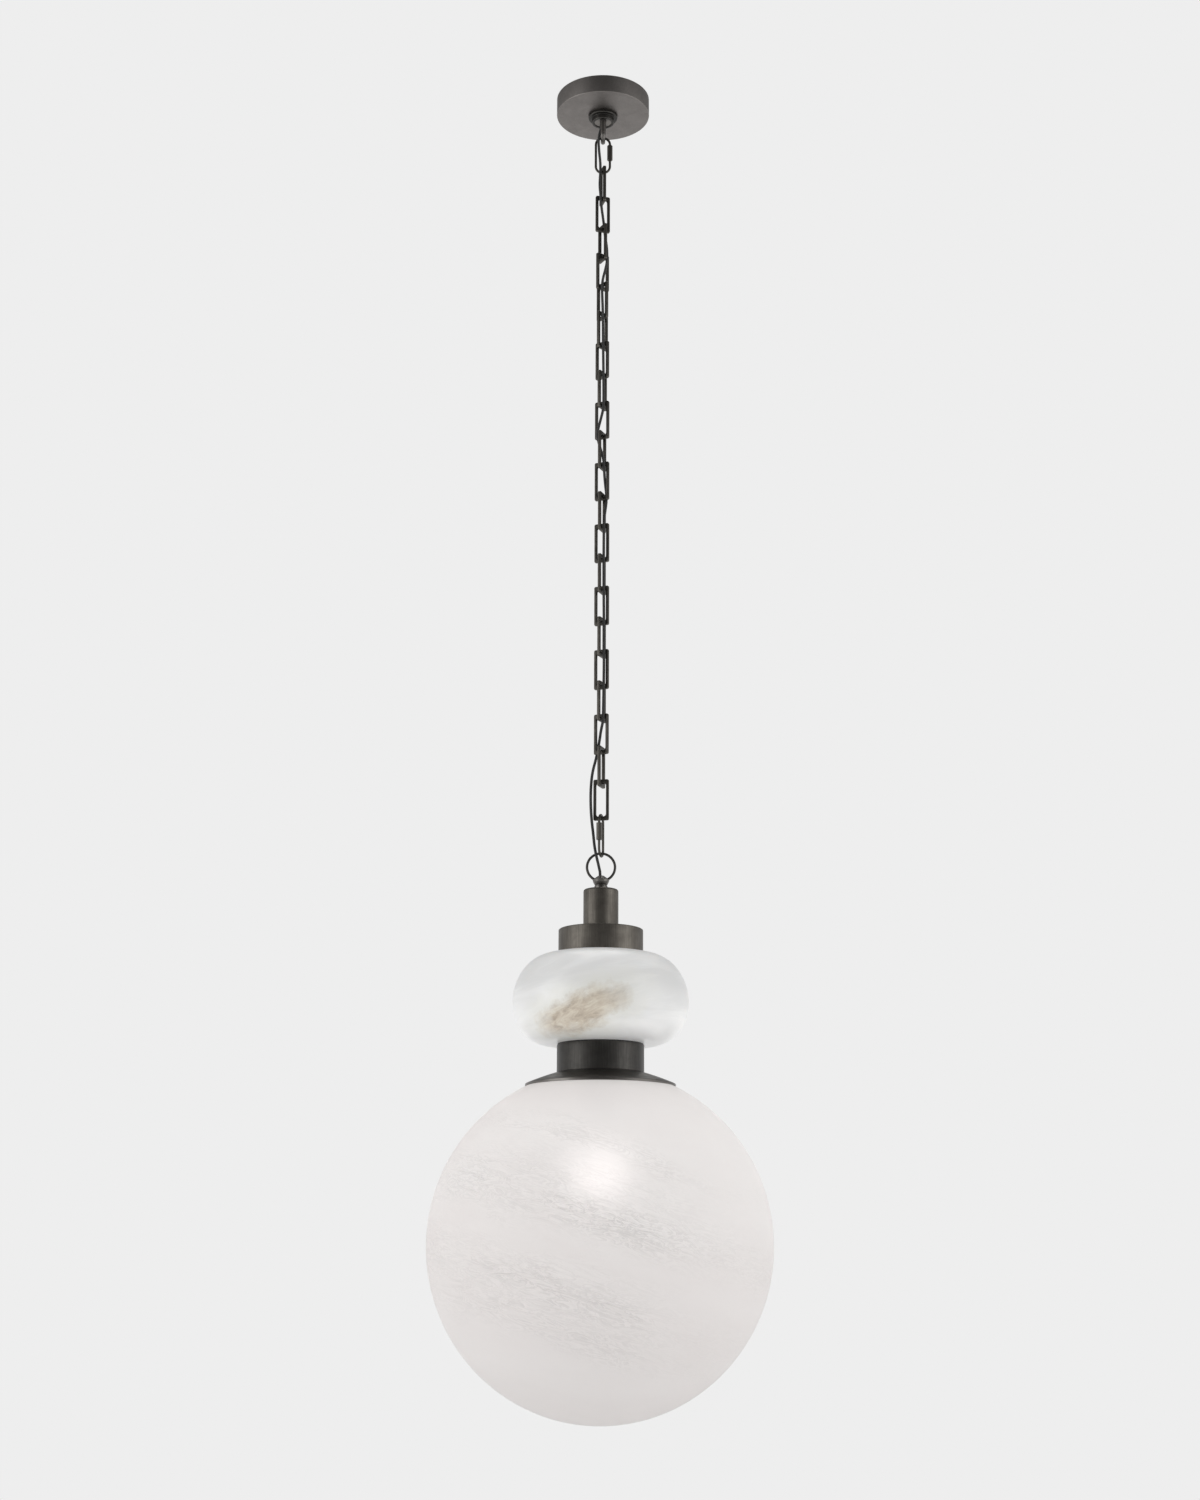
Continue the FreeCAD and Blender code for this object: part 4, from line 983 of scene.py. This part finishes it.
# %% Woven cord finish
def build_cord_cloth():
    finish, tree, surface = new_finish("black braided cord", 0.72)
    uv = tree.nodes.new("ShaderNodeUVMap")
    uv.uv_map = "braid"
    yarns = []
    for lean in (1, -1):
        turn = tree.nodes.new("ShaderNodeMapping")
        turn.inputs["Rotation"].default_value = (0, 0, lean * math.radians(45))
        connect(tree, uv, "UV", turn, "Vector")
        wave = tree.nodes.new("ShaderNodeTexWave")
        wave.inputs["Scale"].default_value = 2.6
        wave.inputs["Distortion"].default_value = 0.6
        wave.inputs["Detail Scale"].default_value = 3
        connect(tree, turn, "Vector", wave, "Vector")
        yarns.append(wave)
    weave = blend_colours(tree, 1.0, None, yarns[0].outputs["Color"], yarns[1].outputs["Color"], "LIGHTEN")
    spread = tree.nodes.new("ShaderNodeValToRGB")
    spread.color_ramp.elements[0].color = (0.006, 0.006, 0.006, 1)
    spread.color_ramp.elements[1].color = (0.024, 0.0235, 0.0225, 1)
    tree.links.new(weave, spread.inputs["Fac"])
    dust = noise(tree, place_nodes(tree), 160, 4)
    soft = ramp(tree, dust, "Fac", [(0.3, grey(0.8)), (0.7, grey(1.25))])
    colour = blend_colours(tree, 1.0, None, spread.outputs["Color"], soft.outputs["Color"], "MULTIPLY")
    tree.links.new(colour, surface.inputs["Base Color"])
    surface.inputs["Sheen Weight"].default_value = 0.15
    add_bump(tree, surface, weave, 0.5, 0.0003)
    return finish


cord_cloth = build_cord_cloth()
print("cord finish:", cord_cloth.name)

# %% [markdown]
# ### Cord in stretches
# Rings of points are set square to the line and carried down it without twist. The stretches share the
# ring where they meet, at the middle of each link, so the cord has no break between them.

# %% Cord tube
def carried_frames(line):
    """For each point of the line, two directions square to it that don't twist from one to the next."""
    frames = []
    across = Vector((1, 0, 0))
    for index, point in enumerate(line):
        ahead = (line[min(index + 1, len(line) - 1)] - line[max(index - 1, 0)]).normalized()
        across = (across - ahead * across.dot(ahead)).normalized()
        frames.append((point, across.copy(), ahead.cross(across)))
    return frames


def tube_mesh(name, frames, radius, sides):
    """A round tube along the frames, with UVs: one turn round is 1, and so is one girth along."""
    shape = bmesh.new()
    uv = shape.loops.layers.uv.new("braid")
    girth = math.tau * radius
    rings, lengths = [], [0.0]
    for index, (point, across, beside) in enumerate(frames):
        if index:
            lengths.append(lengths[-1] + (point - frames[index - 1][0]).length)
        rings.append([
            shape.verts.new(point + (across * math.cos(math.tau * side / sides)
                                     + beside * math.sin(math.tau * side / sides)) * radius)
            for side in range(sides)
        ])
    for index, (ring, following) in enumerate(zip(rings, rings[1:])):
        for side in range(sides):
            other = (side + 1) % sides
            face = shape.faces.new((ring[side], ring[other], following[other], following[side]))
            places = ((side, index), (side + 1, index), (side + 1, index + 1), (side, index + 1))
            for loop, (around, along) in zip(face.loops, places):
                loop[uv].uv = (around / sides, lengths[along] / girth)
    bmesh.ops.recalc_face_normals(shape, faces=shape.faces)
    mesh = bpy.data.meshes.new(name)
    shape.to_mesh(mesh)
    shape.free()
    return mesh


def middle_level(node):
    low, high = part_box(node)
    return (low[2] + high[2]) / 2


chain_bodies = ["ceiling_mount", "upper_link"] + [f"link_{n:02d}" for n in range(1, len(LINK_TWIST) + 1)]
chain_bodies += ["lower_link", "pendant"]
CORD_LEAD = 0.012
chain_levels = [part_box("upper_quick_link")[1][2] + CORD_LEAD, middle_level("upper_quick_link")]
chain_levels += [middle_level(f"chain_link_{n:02d}") for n in range(1, len(LINK_TWIST) + 1)]
chain_levels += [middle_level("lower_quick_link"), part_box("lower_quick_link")[0][2] - CORD_LEAD]


def build_cord():
    frames = carried_frames(cord_line)
    cuts = [
        min(range(len(cord_line)), key=lambda i: abs(cord_line[i].z - height))
        for height in chain_levels
    ]
    bounds = [0] + cuts + [len(cord_line) - 1]
    pieces = []
    for number, (first, last) in enumerate(zip(bounds, bounds[1:])):
        name = f"cord_stretch_{number:02d}"
        mesh = tube_mesh(name, frames[first:last + 1], CORD_DIAMETER / 2, CORD_SIDES)
        piece = finish_piece(name, mesh, cord_cloth, None, "cord", 80)
        if number == 0:
            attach(piece, chain_bodies[0])
        elif number == len(bounds) - 2:
            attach(piece, chain_bodies[-1])
        else:
            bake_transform(piece)
        pieces.append(piece)
    return pieces


cord_pieces = build_cord()
print("cord stretches", len(cord_pieces))

# %% [markdown]
# ## Bent wire
# The quick links and the ring are round wire. A wire is a section carried round a plane outline, so the
# same tube serves: the outline is laid in the plane the CAD piece stands in. The CAD wire is an
# eight-sided 3.2 mm. The round one is a tenth thinner, which leaves it room in the chain link when it
# swings.

# %% Quick links and ring
WIRE = 0.0031
QUICK_LINK_WIDTH = 0.0215
QUICK_LINK_TURNS = {"upper_quick_link": 0.0, "lower_quick_link": 255.0}
GAP_DEPTH, GAP = 0.0145, 0.0070
RING_DIAMETER = 0.0368
HUB_RISE, HUB_HEIGHT, HUB_WAY = 0.00785, 0.0170, 0.0026
HUB_DOME, HUB_SHOULDER, HUB_WAIST, HUB_FOOT, HUB_STEP = 0.0034, 0.0102, 0.0070, 0.00825, 0.0008


def wire_along(name, flat_points, turn, closed=False):
    """A round wire along points (out, height) in the upright plane that is turned from X."""
    out = Vector((math.cos(math.radians(turn)), math.sin(math.radians(turn)), 0))
    square = Vector((-out.y, out.x, 0))
    line = [out * across + Vector((0, 0, height)) for across, height in flat_points]
    if closed:
        line = line + line[:1]
    frames = []
    for index, point in enumerate(line):
        before, after = max(index - 1, 0), min(index + 1, len(line) - 1)
        if closed and index in (0, len(line) - 1):
            before, after = -2, 1
        ahead = (line[after] - line[before]).normalized()
        frames.append((point, square, ahead.cross(square)))
    return tube_mesh(name, frames, WIRE / 2, 20)


def build_quick_link(node, body):
    low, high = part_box(node)
    turn = QUICK_LINK_TURNS[node]
    half = (QUICK_LINK_WIDTH - WIRE) / 2
    upper, lower = high[2] - QUICK_LINK_WIDTH / 2, low[2] + QUICK_LINK_WIDTH / 2
    gap_top = high[2] - GAP_DEPTH
    points = [(half, gap_top)] + arc((0, upper), half, 0, math.pi, 24)
    points += arc((0, lower), half, math.pi, math.tau, 24) + [(half, gap_top - GAP)]
    mesh = wire_along(node + "_wire", points, turn)
    return finish_piece(node + "_wire", mesh, chain_bronze, body, node, 60)


def build_ring_wire():
    radius = RING_DIAMETER / 2
    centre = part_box("ring_loop")[1][2] - radius
    points = arc((0, centre), radius - WIRE / 2, 0, math.tau, 72)[:-1]
    mesh = wire_along("ring_wire", points, 0.0, True)
    return finish_piece("ring_wire", mesh, painted_darker_collar_bronze, "pendant", "ring_loop", 60)


def build_ring_hub():
    ring_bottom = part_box("ring_loop")[1][2] - RING_DIAMETER
    top = ring_bottom + HUB_RISE
    foot = top - HUB_HEIGHT
    corners = [
        (HUB_WAY, top), (HUB_DOME, top),
        (HUB_SHOULDER, ring_bottom + WIRE), (HUB_SHOULDER - HUB_STEP, ring_bottom),
        (HUB_WAIST + HUB_STEP, ring_bottom - WIRE), (HUB_WAIST, ring_bottom - WIRE - HUB_STEP),
        (HUB_WAIST + HUB_STEP, ring_bottom - WIRE - 2 * HUB_STEP), (HUB_FOOT, foot), (HUB_WAY, foot),
    ]
    outline = rounded_outline(corners, [0.0010, 0.0008, 0.0012, 0.0006, 0.0006, 0.0006, 0.0005])
    return turned("ring_hub", outline, turned_bronze, "pendant", "ring_loop", 40, 96)


quick_links = [
    build_quick_link("upper_quick_link", "upper_link"),
    build_quick_link("lower_quick_link", "lower_link"),
]
ring_pieces = [build_ring_wire(), build_ring_hub()]
print("bent wire:", [piece.name for piece in quick_links + ring_pieces])

# %% [markdown]
# ## Pieces kept from the CAD model
# The remaining pieces keep their CAD meshes. They only take a finish, and a narrow bevel where a machined
# or moulded edge would be broken.

# %% Finishes for the kept pieces
def dress(node, finish, bevel=0.0):
    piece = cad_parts[node]
    for slot in piece.material_slots:
        slot.material = finish
    if bevel:
        edges = piece.modifiers.new("broken edges", "BEVEL")
        edges.width = bevel
        edges.segments = 2
        edges.limit_method = "ANGLE"
        edges.angle_limit = math.radians(40)
        edges.harden_normals = True


KEPT = [
    # finish, bevel, nodes
    (zinc, 0.0003, ["crossbar", "nipple_locknut", "globe_holder", "pipe_nuts"]),
    (zinc, 0.0002, ["nipple"]),
    (zinc, 0.0, ["centre_pipe", "pipe_washers"]),
    (earth_paint, 0.0003, ["earth_screw"]),
    (turned_bronze, 0.0, ["canopy_loop", "lampholder_cap"]),
    (chain_bronze, 0.0003, ["upper_sleeve", "lower_sleeve"]),
    (seal_rubber, 0.0, ["upper_gasket", "lower_gasket", "globe_gasket"]),
    (seal_rubber, 0.0003, ["holder_pads"]),
    (phenolic, 0.0003, ["lampholder"]),
    (lamp_metal, 0.0, ["lamp_base"]),
    (lead_skin, 0.0, ["lead_tails"]),
    (connector_shell, 0.0003, ["wire_connectors"]),
]
for finish, bevel, nodes in KEPT:
    for node in nodes:
        dress(node, finish, bevel)
print("kept pieces", sum(len(nodes) for finish, bevel, nodes in KEPT))
